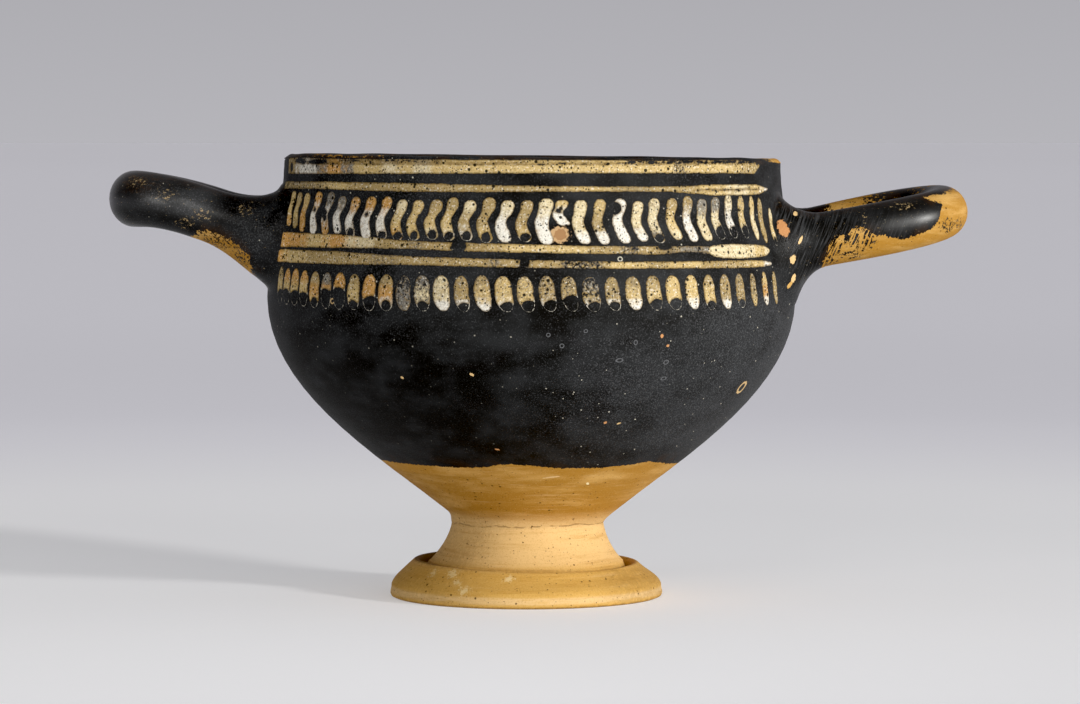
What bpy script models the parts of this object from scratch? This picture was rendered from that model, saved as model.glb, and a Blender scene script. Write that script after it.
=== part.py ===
"""Cup-skyphos: a stemmed drinking cup of fired clay with two loop handles.

One closed solid. Bowl, stem and foot are turned about upright axes; the handles
are rolled coils of clay, bent into loops and luted to the wall before firing.
Metres, +Z up. The origin is on the surface that the cup stands on, halfway
between the two handle tips.
"""

import math

import bmesh
import bpy
from mathutils import Vector

# Overall sizes
HEIGHT = 0.0881                     # foot to lip, over the middle of the bowl
LEFT_REACH = 0.0843                 # bowl axis to the tip of the handle at -X
RIGHT_REACH = 0.0871                # bowl axis to the tip of the handle at +X
BOWL_X = (LEFT_REACH - RIGHT_REACH) / 2

# How far this hand-made cup strays from true
FOOT_SHIFT = -0.00105               # the foot sits off the bowl axis
STEM_SHIFT = -0.00080               # and so does the stem
RIM_DROP = 0.00055                  # the lip is lower at +X and higher at -X
FOOT_EDGE_DROP = 0.0004             # so is the raised edge on top of the foot

# Wall and lip
LIP_RADIUS = 0.0495
LIP_ROUND = 0.0013                  # half the lip's thickness
LIP_RISE = 0.0008                   # height of the lip's rounding
BELLY_RADIUS = 0.0529               # widest part of the bowl
BELLY_Z = 0.0600
LIP_PULL_Z = 0.0770                 # the wall stays upright down to here
BELLY_PULL_Z = 0.0690               # and is as wide as the belly below here
WALL = 0.0031                       # thickness at the belly

# Lower side of the bowl: a curve that ends in a straight slope at the stem
SLOPE_RADIUS = 0.0170
SLOPE_Z = 0.0172
SLOPE_LEAN = math.radians(52)       # from upright
SLOPE_PULL = 0.0184

# Inside of the bowl
FLOOR_Z = 0.0200
FLOOR_PULL = 0.0195                 # the floor stays level this far out
INSIDE_DROP = 0.0205                # the inner wall stays upright this far below the belly

# Stem
STEM_RADIUS = 0.0152                # narrowest part, where bowl and stem were joined
STEM_Z = 0.0146
STEM_BASE_RADIUS = 0.0194
STEM_BASE_Z = 0.0070

# Foot
FOOT_RADIUS = 0.02705
FOOT_WIDE_Z = 0.0024
EDGE_RADIUS = 0.0225                # raised edge round the top of the foot
EDGE_Z = 0.0075
TROUGH_RADIUS = 0.0208              # groove between that edge and the stem
TROUGH_Z = 0.0060
RING_OUTER = 0.0261                 # flat ring that the cup stands on
RING_INNER = 0.0195
HOLLOW_RADIUS = 0.0150              # hollow under the foot
HOLLOW_SHOULDER_Z = 0.0072
HOLLOW_Z = 0.0088

# Handles: u runs outward from the bowl axis, v sideways, w up
ROOT_U = 0.0500                     # an arm starts inside the wall
ROOT_V = 0.0120                     # half the distance between the arms there
BOW_U = 0.0670                      # the arms bow out towards this point
BOW_V = 0.0135
TIP_BREADTH = 0.0120                # how broad the bend at the tip is
SIDE_FLARE = 0.0030                 # an arm widens sideways into the wall
SWING_LEAD = 0.8                    # below 1, a swung arm rises sooner

# Facets
STEPS_ROUND = 56
HANDLE_SIDES = 14
HANDLE_RINGS = 28
RING_CROWDING = 0.6                 # sections stand closer at the wall and the tip

GLOSS_COLOUR = (0.022, 0.021, 0.020, 1)
GLOSS_ROUGHNESS = 0.5


def curve(start, pull_a, pull_b, end, steps):
    """Points on a cubic curve, without its first point."""
    points = []
    for i in range(1, steps + 1):
        t = i / steps
        s = 1 - t
        shares = (s**3, 3 * s * s * t, 3 * s * t * t, t**3)
        corners = (start, pull_a, pull_b, end)
        points.append(tuple(sum(k * c[axis] for k, c in zip(shares, corners)) for axis in (0, 1)))
    return points


def quarter_round(from_deg, to_deg, steps):
    """Points over the lip, without the first."""
    points = []
    for i in range(1, steps + 1):
        a = math.radians(from_deg + (to_deg - from_deg) * i / steps)
        r = LIP_RADIUS - LIP_ROUND + LIP_ROUND * math.cos(a)
        points.append((r, HEIGHT - LIP_RISE + LIP_RISE * math.sin(a)))
    return points


def inside_profile():
    """From the middle of the floor, up the inner wall, to the top of the lip."""
    floor = (0.0, FLOOR_Z)
    belly = (BELLY_RADIUS - WALL, BELLY_Z)
    lip = (LIP_RADIUS - 2 * LIP_ROUND, HEIGHT - LIP_RISE)
    points = [floor]
    points += curve(floor, (FLOOR_PULL, FLOOR_Z), (belly[0], BELLY_Z - INSIDE_DROP), belly, 11)
    points += curve(belly, (belly[0], BELLY_PULL_Z), (lip[0], LIP_PULL_Z), lip, 6)
    points += quarter_round(180, 90, 2)
    return points


def outside_wall():
    """From under the lip to the belly."""
    return curve((LIP_RADIUS, HEIGHT - LIP_RISE), (LIP_RADIUS, LIP_PULL_Z),
                 (BELLY_RADIUS, BELLY_PULL_Z), (BELLY_RADIUS, BELLY_Z), 7)


def outside_bowl():
    """From the belly to the joint with the stem."""
    slope_pull = (SLOPE_RADIUS + math.sin(SLOPE_LEAN) * SLOPE_PULL,
                  SLOPE_Z + math.cos(SLOPE_LEAN) * SLOPE_PULL)
    points = curve((BELLY_RADIUS, BELLY_Z), (BELLY_RADIUS, BELLY_Z - SLOPE_PULL),
                   slope_pull, (SLOPE_RADIUS, SLOPE_Z), 13)
    points += curve((SLOPE_RADIUS, SLOPE_Z), (0.0160, 0.0164), (0.0155, 0.0156),
                    (STEM_RADIUS, STEM_Z), 3)
    return points


def outside_foot():
    """From the joint down the flared stem and over the foot to its ring."""
    points = curve((STEM_RADIUS, STEM_Z), (0.0156, 0.0122), (0.0171, 0.0092),
                   (STEM_BASE_RADIUS, STEM_BASE_Z), 5)
    points += [(TROUGH_RADIUS, TROUGH_Z)]
    points += curve((TROUGH_RADIUS, TROUGH_Z), (0.0212, 0.0077), (0.0220, 0.0079),
                    (EDGE_RADIUS, EDGE_Z), 2)
    points += curve((EDGE_RADIUS, EDGE_Z), (0.0239, 0.0062), (0.0264, 0.0044),
                    (FOOT_RADIUS, FOOT_WIDE_Z), 4)
    points += curve((FOOT_RADIUS, FOOT_WIDE_Z), (FOOT_RADIUS, 0.0009), (0.0267, 0.0),
                    (RING_OUTER, 0.0), 3)
    return points


def underside():
    """From the ring into the hollow under the foot, to the axis."""
    points = [(RING_INNER, 0.0)]
    points += curve((RING_INNER, 0.0), (0.0180, 0.0015), (0.0168, 0.0066),
                    (HOLLOW_RADIUS, HOLLOW_SHOULDER_Z), 4)
    points += curve((HOLLOW_RADIUS, HOLLOW_SHOULDER_Z), (0.0110, 0.0082), (0.0060, HOLLOW_Z),
                    (0.0, HOLLOW_Z), 3)
    return points


def rise(value, low, high):
    """0 below low, 1 above high, smooth between."""
    t = min(1.0, max(0.0, (value - low) / (high - low)))
    return t * t * (3 - 2 * t)


def strayed(point):
    """A turned point, moved to where the hand-made cup has it."""
    x, y, z = point
    above_joint = rise(z, STEM_Z, SLOPE_Z)
    above_foot = rise(z, STEM_BASE_Z, STEM_Z)
    shift = STEM_SHIFT * (1 - above_joint) + (FOOT_SHIFT - STEM_SHIFT) * (1 - above_foot)
    drop = RIM_DROP * x / LIP_RADIUS * rise(z, BELLY_Z, HEIGHT)
    if z < STEM_Z and math.hypot(x, y) > STEM_BASE_RADIUS:
        drop += FOOT_EDGE_DROP * x / EDGE_RADIUS * rise(z, FOOT_WIDE_Z, EDGE_Z)
    return Vector((BOWL_X + x + shift, y, z - drop))


def finished_object(name, shape):
    bmesh.ops.recalc_face_normals(shape, faces=shape.faces)
    mesh = bpy.data.meshes.new(name)
    shape.to_mesh(mesh)
    shape.free()
    thing = bpy.data.objects.new(name, mesh)
    bpy.context.scene.collection.objects.link(thing)
    return thing


def turned_body(name):
    """Bowl, stem and foot: one profile from axis to axis, spun once round."""
    profile = inside_profile() + quarter_round(90, 0, 2) + outside_wall()
    profile += outside_bowl() + outside_foot() + underside()
    shape = bmesh.new()
    spine = [shape.verts.new((r, 0.0, z)) for r, z in profile]
    edges = [shape.edges.new(pair) for pair in zip(spine, spine[1:])]
    bmesh.ops.spin(shape, geom=spine + edges, axis=(0, 0, 1), cent=(0, 0, 0),
                   angle=2 * math.pi, steps=STEPS_ROUND, use_merge=True)
    bmesh.ops.remove_doubles(shape, verts=shape.verts, dist=0.00001)
    for corner in shape.verts:
        corner.co = strayed(corner.co)
    return finished_object(name, shape)


def wall_radius(z):
    """Radius of the bowl's outside at a height."""
    line = [(LIP_RADIUS, HEIGHT - LIP_RISE)] + outside_wall() + outside_bowl()
    for (upper_r, upper_z), (lower_r, lower_z) in zip(line, line[1:]):
        if lower_z <= z <= upper_z:
            return lower_r + (upper_r - lower_r) * (z - lower_z) / (upper_z - lower_z)
    return LIP_RADIUS


def in_the_wall(point):
    """A point moved along u into the middle of the wall's thickness."""
    radius = wall_radius(point.z) - WALL / 2
    return Vector((math.sqrt(radius**2 - point.y**2), point.y, point.z))


class Handle:
    """One looped coil. side is 1 at +X and -1 at -X."""

    def __init__(self, name, side, reach, root_z, tip_z, swing, twist, half_width, half_height,
                 root_flare, root_length):
        self.name = name
        self.side = side
        self.tip_u = reach - half_width
        self.root_z = root_z            # height of the coil's middle at the wall
        self.tip_z = tip_z              # and at the tip
        self.swing = swing              # 0 rises straight, 1 rises in an S
        self.twist = twist              # rise of the arm at +Y, per metre of v
        self.half_width = half_width
        self.half_height = half_height
        self.root_flare = root_flare    # an arm grows this much taller
        self.root_length = root_length  # over this last stretch before the wall

    def middle(self, t):
        """Middle of the coil: t is 0 at the arm at -Y, 0.5 at the tip, 1 at +Y."""
        s = abs(2 * t - 1)
        corners = ((self.tip_u, 0.0), (self.tip_u, TIP_BREADTH), (BOW_U, BOW_V), (ROOT_U, ROOT_V))
        shares = ((1 - s)**3, 3 * (1 - s)**2 * s, 3 * (1 - s) * s * s, s**3)
        u = sum(k * c[0] for k, c in zip(shares, corners))
        v = math.copysign(1, t - 0.5) * sum(k * c[1] for k, c in zip(shares, corners))
        out = max(0.0, (u - ROOT_U) / (self.tip_u - ROOT_U))
        climb = (1 - self.swing) * out + self.swing * rise(out**SWING_LEAD, 0, 1)
        w = self.root_z + (self.tip_z - self.root_z) * climb + self.twist * v * math.sqrt(out)
        return Vector((u, v, w))

    def section(self, t):
        """The ring of points round the coil at t."""
        middle = self.middle(t)
        step = 0.001
        ahead = (self.middle(min(1.0, t + step)) - self.middle(max(0.0, t - step))).normalized()
        across = Vector((ahead.y, -ahead.x, 0)).normalized()
        up = across.cross(ahead)
        if up.z < 0:
            up = -up
        clear = middle.x - math.sqrt(wall_radius(middle.z)**2 - middle.y**2)
        flare = min(1.0, max(0.0, 1 - clear / self.root_length))**2
        ring = []
        for i in range(HANDLE_SIDES):
            a = 2 * math.pi * i / HANDLE_SIDES
            wide = (self.half_width + SIDE_FLARE * flare) * math.cos(a)
            tall = (self.half_height + self.root_flare * flare) * math.sin(a)
            ring.append(middle + across * wide + up * tall)
        return ring

    def in_place(self, point):
        return Vector((BOWL_X + self.side * point.x, point.y, point.z))

    def build(self):
        """The coil as a closed shape whose two ends lie inside the wall."""
        shape = bmesh.new()
        rings = []
        for i in range(HANDLE_RINGS + 1):
            even = i / HANDLE_RINGS
            t = even - RING_CROWDING * math.sin(4 * math.pi * even) / (4 * math.pi)
            ring = self.section(t)
            if i in (0, HANDLE_RINGS):
                ring = [in_the_wall(point) for point in ring]
            rings.append([shape.verts.new(self.in_place(point)) for point in ring])
        for ring, following in zip(rings, rings[1:]):
            for i in range(HANDLE_SIDES):
                j = (i + 1) % HANDLE_SIDES
                shape.faces.new((ring[i], ring[j], following[j], following[i]))
        for ring, t in ((rings[0], 0.0), (rings[-1], 1.0)):
            hub = shape.verts.new(self.in_place(in_the_wall(self.middle(t))))
            for i in range(HANDLE_SIDES):
                shape.faces.new((ring[i], ring[(i + 1) % HANDLE_SIDES], hub))
        coil = finished_object(self.name, shape)
        coil.hide_render = True
        coil.display_type = "WIRE"
        return coil


def lute(body, coil):
    """Joins a coil to the body, as one piece of clay."""
    joint = body.modifiers.new(coil.name, "BOOLEAN")
    joint.operation = "UNION"
    joint.solver = "EXACT"
    joint.object = coil


def black_gloss():
    material = bpy.data.materials.new("black_gloss_clay")
    material.use_nodes = True
    shader = material.node_tree.nodes["Principled BSDF"]
    shader.inputs["Base Color"].default_value = GLOSS_COLOUR
    shader.inputs["Roughness"].default_value = GLOSS_ROUGHNESS
    shader.inputs["Metallic"].default_value = 0.0
    return material


for old in list(bpy.data.objects):
    bpy.data.objects.remove(old, do_unlink=True)

left_handle = Handle("left_handle_coil", -1, LEFT_REACH, root_z=0.0718, tip_z=0.0797, swing=1.0,
                     twist=-0.025, half_width=0.0050, half_height=0.0054,
                     root_flare=0.0062, root_length=0.0130)
right_handle = Handle("right_handle_coil", 1, RIGHT_REACH, root_z=0.0705, tip_z=0.0766, swing=0.0,
                      twist=0.120, half_width=0.0048, half_height=0.0050,
                      root_flare=0.0046, root_length=0.0080)

cup = turned_body("cup_skyphos")
cup.data.materials.append(black_gloss())
lute(cup, left_handle.build())
lute(cup, right_handle.build())
cup.data.shade_smooth()
cup.data.set_sharp_from_angle(angle=math.radians(40))
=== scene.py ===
import math
from dataclasses import dataclass

import bpy
import numpy as np
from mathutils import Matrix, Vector
from mathutils.bvhtree import BVHTree


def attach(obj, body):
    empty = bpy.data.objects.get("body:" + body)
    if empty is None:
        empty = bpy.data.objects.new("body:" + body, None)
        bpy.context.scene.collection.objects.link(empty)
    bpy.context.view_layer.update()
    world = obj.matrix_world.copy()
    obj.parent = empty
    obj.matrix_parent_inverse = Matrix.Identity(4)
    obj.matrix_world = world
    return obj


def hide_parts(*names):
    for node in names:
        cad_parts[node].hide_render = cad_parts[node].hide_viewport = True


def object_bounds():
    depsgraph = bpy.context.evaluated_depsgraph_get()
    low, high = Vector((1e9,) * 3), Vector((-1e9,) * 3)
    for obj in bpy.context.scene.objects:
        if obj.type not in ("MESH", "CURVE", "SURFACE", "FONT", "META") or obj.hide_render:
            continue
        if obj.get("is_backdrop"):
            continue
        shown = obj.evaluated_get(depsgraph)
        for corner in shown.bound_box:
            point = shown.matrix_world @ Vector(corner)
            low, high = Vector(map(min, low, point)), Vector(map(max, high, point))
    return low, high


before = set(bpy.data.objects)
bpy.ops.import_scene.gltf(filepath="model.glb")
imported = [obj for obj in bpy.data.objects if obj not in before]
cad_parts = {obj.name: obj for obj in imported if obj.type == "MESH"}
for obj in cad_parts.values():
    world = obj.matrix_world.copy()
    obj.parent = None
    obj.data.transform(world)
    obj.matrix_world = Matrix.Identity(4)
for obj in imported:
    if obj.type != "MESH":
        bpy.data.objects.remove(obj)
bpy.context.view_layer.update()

# ==== The cup ====
# Bowl, stem and foot were thrown on the wheel, and two rolled coils were luted to the
# wall as handles before firing: one piece of ochre clay. All but the foot and the
# lowest part of the bowl was coated with slip that fired black.

# Sizes are in millimetres, angles round the wall in degrees: 0 in front, 90 at +X
MM = 0.001
LEFT_REACH = 84.3                   # bowl axis to the tip of the handle at -X
RIGHT_REACH = 87.1                  # and at +X
BOWL_X = (LEFT_REACH - RIGHT_REACH) / 2
HEIGHT = 88.1
FOOT_SHIFT = -1.05                  # foot and stem stand a little off the bowl axis
STEM_SHIFT = -0.80
FOOT_X = BOWL_X + FOOT_SHIFT
RIM_DROP = 0.55                     # the lip is lower at +X
FOOT_EDGE_DROP = 0.4
SLIP_DEPTH = 0.12                   # the wall lies this far in, so that the paint stands proud

LIP_RADIUS = 49.5
LIP_ROUND = 1.3
LIP_RISE = 0.8
BELLY_RADIUS = 52.9
BELLY_Z = 60.0
LIP_PULL_Z = 77.0
BELLY_PULL_Z = 69.0
WALL = 3.1
SLOPE_RADIUS = 17.0
SLOPE_Z = 17.2
SLOPE_LEAN = math.radians(52)
SLOPE_PULL = 18.4
FLOOR_Z = 20.0
FLOOR_PULL = 19.5
INSIDE_DROP = 20.5
STEM_RADIUS = 15.2
STEM_Z = 14.6
STEM_BASE_RADIUS = 19.4
STEM_BASE_Z = 7.0
FOOT_RADIUS = 27.05
FOOT_WIDE_Z = 2.4
EDGE_RADIUS = 22.5
EDGE_Z = 7.5
TROUGH_RADIUS = 20.8
TROUGH_Z = 6.0
RING_OUTER = 26.1
RING_INNER = 19.5
HOLLOW_RADIUS = 15.0
HOLLOW_SHOULDER_Z = 7.2
HOLLOW_Z = 8.8


def rise(value, low, high):
    """0 at low, 1 at high, smooth between; high may be the smaller."""
    t = np.clip((value - low) / (high - low), 0, 1)
    return t * t * (3 - 2 * t)


def bump(value, middle, reach):
    """1 at the middle, 0 beyond its reach on either side."""
    return rise(np.abs(value - middle), reach, 0)


def along(line, place):
    """The value at this place of a line given as places and values."""
    return np.interp(place, *np.array(line, float).T)


def sweep(start, pull_a, pull_b, end, steps=60):
    """Points along a cubic curve."""
    t = np.linspace(0, 1, steps + 1)[:, None]
    a, b, c, d = (np.array(corner, float) for corner in (start, pull_a, pull_b, end))
    return (1 - t)**3 * a + 3 * (1 - t)**2 * t * b + 3 * (1 - t) * t * t * c + t**3 * d


def paced(points, pace):
    """The same line with its points an even pace apart, without its first point."""
    reach = np.concatenate([[0], np.cumsum(np.hypot(*np.diff(points, axis=0).T))])
    count = max(1, round(reach[-1] / pace))
    stops = np.linspace(0, reach[-1], count + 1)[1:]
    return np.stack([np.interp(stops, reach, points[:, axis]) for axis in (0, 1)], axis=1)


def lip_arc(from_deg, to_deg):
    a = np.radians(np.linspace(from_deg, to_deg, 30))
    return np.stack([LIP_RADIUS - LIP_ROUND + LIP_ROUND * np.cos(a),
                     HEIGHT - LIP_RISE + LIP_RISE * np.sin(a)], axis=1)


LIP = (LIP_RADIUS, HEIGHT - LIP_RISE)
BELLY = (BELLY_RADIUS, BELLY_Z)
SLOPE = (SLOPE_RADIUS, SLOPE_Z)
SLOPE_TURN = (SLOPE_RADIUS + math.sin(SLOPE_LEAN) * SLOPE_PULL,
              SLOPE_Z + math.cos(SLOPE_LEAN) * SLOPE_PULL)
STEM = (STEM_RADIUS, STEM_Z)
STEM_BASE = (STEM_BASE_RADIUS, STEM_BASE_Z)
TROUGH = (TROUGH_RADIUS, TROUGH_Z)
EDGE = (EDGE_RADIUS, EDGE_Z)
FOOT = (FOOT_RADIUS, FOOT_WIDE_Z)
INNER_BELLY = (BELLY_RADIUS - WALL, BELLY_Z)
INNER_LIP = (LIP_RADIUS - 2 * LIP_ROUND, HEIGHT - LIP_RISE)
HOLLOW = (HOLLOW_RADIUS, HOLLOW_SHOULDER_Z)

upper_wall = sweep(LIP, (LIP_RADIUS, LIP_PULL_Z), (BELLY_RADIUS, BELLY_PULL_Z), BELLY)
lower_wall = sweep(BELLY, (BELLY_RADIUS, BELLY_Z - SLOPE_PULL), SLOPE_TURN, SLOPE)
outer_wall = np.concatenate([upper_wall, lower_wall[1:]])

# Each stretch of the profile, from the middle of the floor round to the hollow of the
# foot, with the pace of its rows
STRETCHES = (
    (sweep((0, FLOOR_Z), (FLOOR_PULL, FLOOR_Z), (INNER_BELLY[0], BELLY_Z - INSIDE_DROP),
           INNER_BELLY), 1.6),
    (sweep(INNER_BELLY, (INNER_BELLY[0], BELLY_PULL_Z), (INNER_LIP[0], LIP_PULL_Z), INNER_LIP), 1.5),
    (lip_arc(180, 0), 0.35),
    (upper_wall, 0.62),
    (lower_wall, 0.64),
    (sweep(SLOPE, (16.0, 16.4), (15.5, 15.6), STEM), 0.4),
    (sweep(STEM, (15.6, 12.2), (17.1, 9.2), STEM_BASE), 0.45),
    (sweep(STEM_BASE, (19.9, 6.3), (20.4, TROUGH_Z), TROUGH), 0.35),
    (sweep(TROUGH, (21.2, 7.7), (22.0, 7.9), EDGE), 0.35),
    (sweep(EDGE, (23.9, 6.2), (26.4, 4.4), FOOT), 0.45),
    (sweep(FOOT, (FOOT_RADIUS, 0.9), (26.7, 0.0), (RING_OUTER, 0.0)), 0.45),
    (sweep((RING_OUTER, 0), (24, 0), (22, 0), (RING_INNER, 0)), 0.9),
    (sweep((RING_INNER, 0), (18.0, 1.5), (16.8, 6.6), HOLLOW), 0.9),
    (sweep(HOLLOW, (11.0, 8.2), (6.0, HOLLOW_Z), (0, HOLLOW_Z)), 1.4),
)
COLUMNS = 290
FRONT = 75                          # columns stand closest within this many degrees of the front
BACK_SHARE = 0.5                    # and half as close at the back


def spun_columns():
    """Angles of the columns, closer together over the painted front."""
    fine = np.linspace(-180, 180, 3601)
    crowd = 1 - (1 - BACK_SHARE) * rise(np.abs(fine), FRONT, FRONT + 30)
    reach = np.concatenate([[0], np.cumsum((crowd[1:] + crowd[:-1]) / 2)])
    return np.interp(np.linspace(0, reach[-1], COLUMNS + 1)[:-1], reach, fine)


def strays(x, z, radius):
    """Sideways shift and drop of a turned point on this hand-made cup."""
    shift = STEM_SHIFT * rise(z, SLOPE_Z, STEM_Z)
    shift = shift + (FOOT_SHIFT - STEM_SHIFT) * rise(z, STEM_Z, STEM_BASE_Z)
    drop = RIM_DROP * x / LIP_RADIUS * rise(z, BELLY_Z, HEIGHT)
    on_foot = (z < STEM_Z) & (radius > STEM_BASE_RADIUS)
    drop = drop + on_foot * FOOT_EDGE_DROP * x / EDGE_RADIUS * rise(z, FOOT_WIDE_Z, EDGE_Z)
    return BOWL_X + shift, drop


def put_down(name, data, place=(0, 0, 0), turn=(0, 0, 0)):
    """A new thing in the scene, at a place in millimetres and turned by angles in degrees."""
    thing = bpy.data.objects.new(name, data)
    thing.location = Vector(place) * MM
    thing.rotation_euler = [math.radians(angle) for angle in turn]
    bpy.context.scene.collection.objects.link(thing)
    return thing


def made_object(name, points, faces):
    """A mesh object from points in millimetres."""
    mesh = bpy.data.meshes.new(name)
    mesh.from_pydata((np.asarray(points) * MM).tolist(), [], faces)
    mesh.update()
    return put_down(name, mesh)


def tube_faces(rings, sides):
    """Faces of a closed tube. Its two end hubs follow the points of its rings."""
    faces = []
    for ring in range(rings - 1):
        for side in range(sides):
            a = ring * sides + side
            b = ring * sides + (side + 1) % sides
            faces.append((a, b, b + sides, a + sides))
    last, hub = (rings - 1) * sides, rings * sides
    for side in range(sides):
        following = (side + 1) % sides
        faces.append((hub, following, side))
        faces.append((hub + 1, last + side, last + following))
    return faces


def turned_body():
    """Bowl, stem and foot as they come off the wheel."""
    profile = np.concatenate([paced(line, pace) for line, pace in STRETCHES])[:-1]
    angles = np.radians(spun_columns())
    radius = profile[:, 0][:, None] * np.ones(COLUMNS)
    z = profile[:, 1][:, None] * np.ones(COLUMNS)
    x = radius * np.sin(angles)
    y = -radius * np.cos(angles)
    shift, drop = strays(x, z, radius)
    points = np.stack([x + shift, y, z - drop], axis=2).reshape(-1, 3)
    ends = [[BOWL_X, 0, FLOOR_Z], [FOOT_X, 0, HOLLOW_Z]]
    return made_object("vessel", np.concatenate([points, ends]), tube_faces(len(profile), COLUMNS))


# The handles: u runs outward from the bowl axis, v sideways, w up
ROOT_U = 50.0
ROOT_V = 12.0
BOW_U = 67.0
BOW_V = 13.5
TIP_BREADTH = 12.0
SIDE_FLARE = 3.0
SWING_LEAD = 0.8
TWIST_LEAD = 0.8
COIL_RINGS = 84
COIL_SIDES = 36
RING_CROWDING = 0.6
IN_THE_WALL = 0.12                  # the coil's line is followed this far on into the wall
SIDE_FIELD = 30.0                   # the handles matter only this far out from the axis
SMOOTHINGS = 10                     # how often the clay over a joint is smoothed

wall_lean = np.gradient(outer_wall[:, 0], outer_wall[:, 1])


def wall_radius(z):
    return np.interp(z, outer_wall[::-1, 1], outer_wall[::-1, 0])


@dataclass
class Handle:
    """One looped coil."""

    side: int                       # 1 at +X, -1 at -X
    reach: float                    # bowl axis to its tip
    root_z: float
    tip_z: float
    swing: float                    # 0 rises straight, 1 rises in an S
    twist: float
    half_width: float
    half_height: float
    arm_swell: float                # the arms are this much taller than the tip
    root_flare: float
    root_length: float
    fillet: float                   # how far the clay is smoothed over the joint
    fuller_below: float

    def middle(self, t):
        """Middle of the coil: t is 0 at the arm at -Y, 0.5 at the tip, 1 at +Y."""
        s = np.abs(2 * t - 1)
        tip_u = self.reach - self.half_width
        shares = ((1 - s)**3, 3 * (1 - s)**2 * s, 3 * (1 - s) * s * s, s**3)
        u = sum(k * c for k, c in zip(shares, (tip_u, tip_u, BOW_U, ROOT_U)))
        v = sum(k * c for k, c in zip(shares, (0, TIP_BREADTH, BOW_V, ROOT_V))) * np.sign(t - 0.5)
        out = np.maximum((u - ROOT_U) / (tip_u - ROOT_U), -0.1)
        swung = rise(np.maximum(out, 0)**SWING_LEAD, 0, 1)
        climb = (1 - self.swing) * out + self.swing * swung
        turned = out * (1 + TWIST_LEAD) / (out + TWIST_LEAD)
        w = self.root_z + (self.tip_z - self.root_z) * climb + self.twist * v * turned
        return np.stack([u, v, w], axis=-1)

    def stations(self, t):
        """Middles, the directions across and up, and the half sizes there."""
        middle = self.middle(t)
        ahead = self.middle(t + 0.001) - self.middle(t - 0.001)
        ahead /= np.linalg.norm(ahead, axis=1, keepdims=True)
        across = np.stack([ahead[:, 1], -ahead[:, 0], np.zeros(len(t))], axis=1)
        across /= np.linalg.norm(across, axis=1, keepdims=True)
        up = np.cross(across, ahead)
        up *= np.sign(up[:, 2:3])
        clear = middle[:, 0] - np.sqrt(wall_radius(middle[:, 2])**2 - middle[:, 1]**2)
        flare = np.clip(1.1 - np.hypot(clear, 0.8) / self.root_length, 0, 1)**2
        wide = self.half_width + SIDE_FLARE * flare
        tall = (self.half_height + self.root_flare * flare
                + self.arm_swell * rise(np.abs(2 * t - 1), 0.1, 0.6))
        return middle, across, up, wide, tall

    def build(self):
        even = np.linspace(0, 1, COIL_RINGS + 1)
        t = even - RING_CROWDING * np.sin(4 * math.pi * even) / (4 * math.pi)
        middle, across, up, wide, tall = self.stations(t)
        a = np.linspace(0, 2 * math.pi, COIL_SIDES, endpoint=False)
        rings = (middle[:, None] + across[:, None] * (wide[:, None] * np.cos(a))[..., None]
                 + up[:, None] * (tall[:, None] * np.sin(a))[..., None])
        for end in (0, -1):
            deep = wall_radius(rings[end, :, 2]) - WALL / 2
            rings[end, :, 0] = np.sqrt(deep**2 - rings[end, :, 1]**2)
        points = np.concatenate([rings.reshape(-1, 3), rings[[0, -1]].mean(axis=1)])
        faces = [face[::self.side] for face in tube_faces(COIL_RINGS + 1, COIL_SIDES)]
        return made_object("coil", points * (self.side, 1, 1) + (BOWL_X, 0, 0), faces)

    def around(self, points):
        """Distance to the coil's skin and height on its section, -1 to 1."""
        t = np.linspace(-IN_THE_WALL, 1 + IN_THE_WALL, 281)
        middle = self.middle(t)
        local = (points - (BOWL_X, 0, 0)) * (self.side, 1, 1)
        nearest = np.empty(len(local), int)
        for start in range(0, len(local), 4000):
            gap = local[start:start + 4000, None] - middle[None]
            nearest[start:start + 4000] = (gap**2).sum(axis=2).argmin(axis=1)
        pace = np.gradient(middle, t, axis=0)[nearest]
        beyond = ((local - middle[nearest]) * pace).sum(axis=1) / (pace**2).sum(axis=1)
        t = np.clip(t[nearest] + beyond, -IN_THE_WALL, 1 + IN_THE_WALL)
        middle, across, up, wide, tall = self.stations(t)
        away = local - middle
        a = (away * across).sum(axis=1)
        b = (away * up).sum(axis=1)
        length = np.hypot(a, b) + 1e-9
        skin = 1 / np.hypot(a / length / wide, b / length / tall)
        return length - skin, b / tall


left_handle = Handle(-1, LEFT_REACH, root_z=72.3, tip_z=79.45, swing=1.0, twist=-0.025,
                     half_width=5.0, half_height=5.6, arm_swell=-0.3, root_flare=4.2,
                     root_length=13.0, fillet=2.8, fuller_below=0)
right_handle = Handle(1, RIGHT_REACH, root_z=70.5, tip_z=76.95, swing=0.0, twist=0.065,
                      half_width=4.9, half_height=5.1, arm_swell=0.2, root_flare=3.6,
                      root_length=7.5, fillet=4.3, fuller_below=0.35)
HANDLES = (left_handle, right_handle)


def unstrayed(points):
    """Radius, height and angle of each point on the cup as it was first turned."""
    x, y, z = points.T
    drop = RIM_DROP * (x - BOWL_X) / LIP_RADIUS * rise(z, BELLY_Z, HEIGHT)
    radius = np.hypot(x - BOWL_X, y)
    return radius, z + drop, np.degrees(np.arctan2(x - BOWL_X, -y))


def off_the_wall(points):
    """Distance out from the bowl's outer face, negative inside it."""
    radius, z, _ = unstrayed(points)
    lean = np.interp(z, outer_wall[::-1, 1], wall_lean[::-1])
    return (radius - wall_radius(z)) / np.sqrt(1 + lean**2)


def run_together(a, b, reach):
    """Two distances joined by a rounded hollow instead of a crease."""
    share = np.clip(0.5 + 0.5 * (b - a) / reach, 0, 1)
    return b + (a - b) * share - reach * share * (1 - share)


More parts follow.
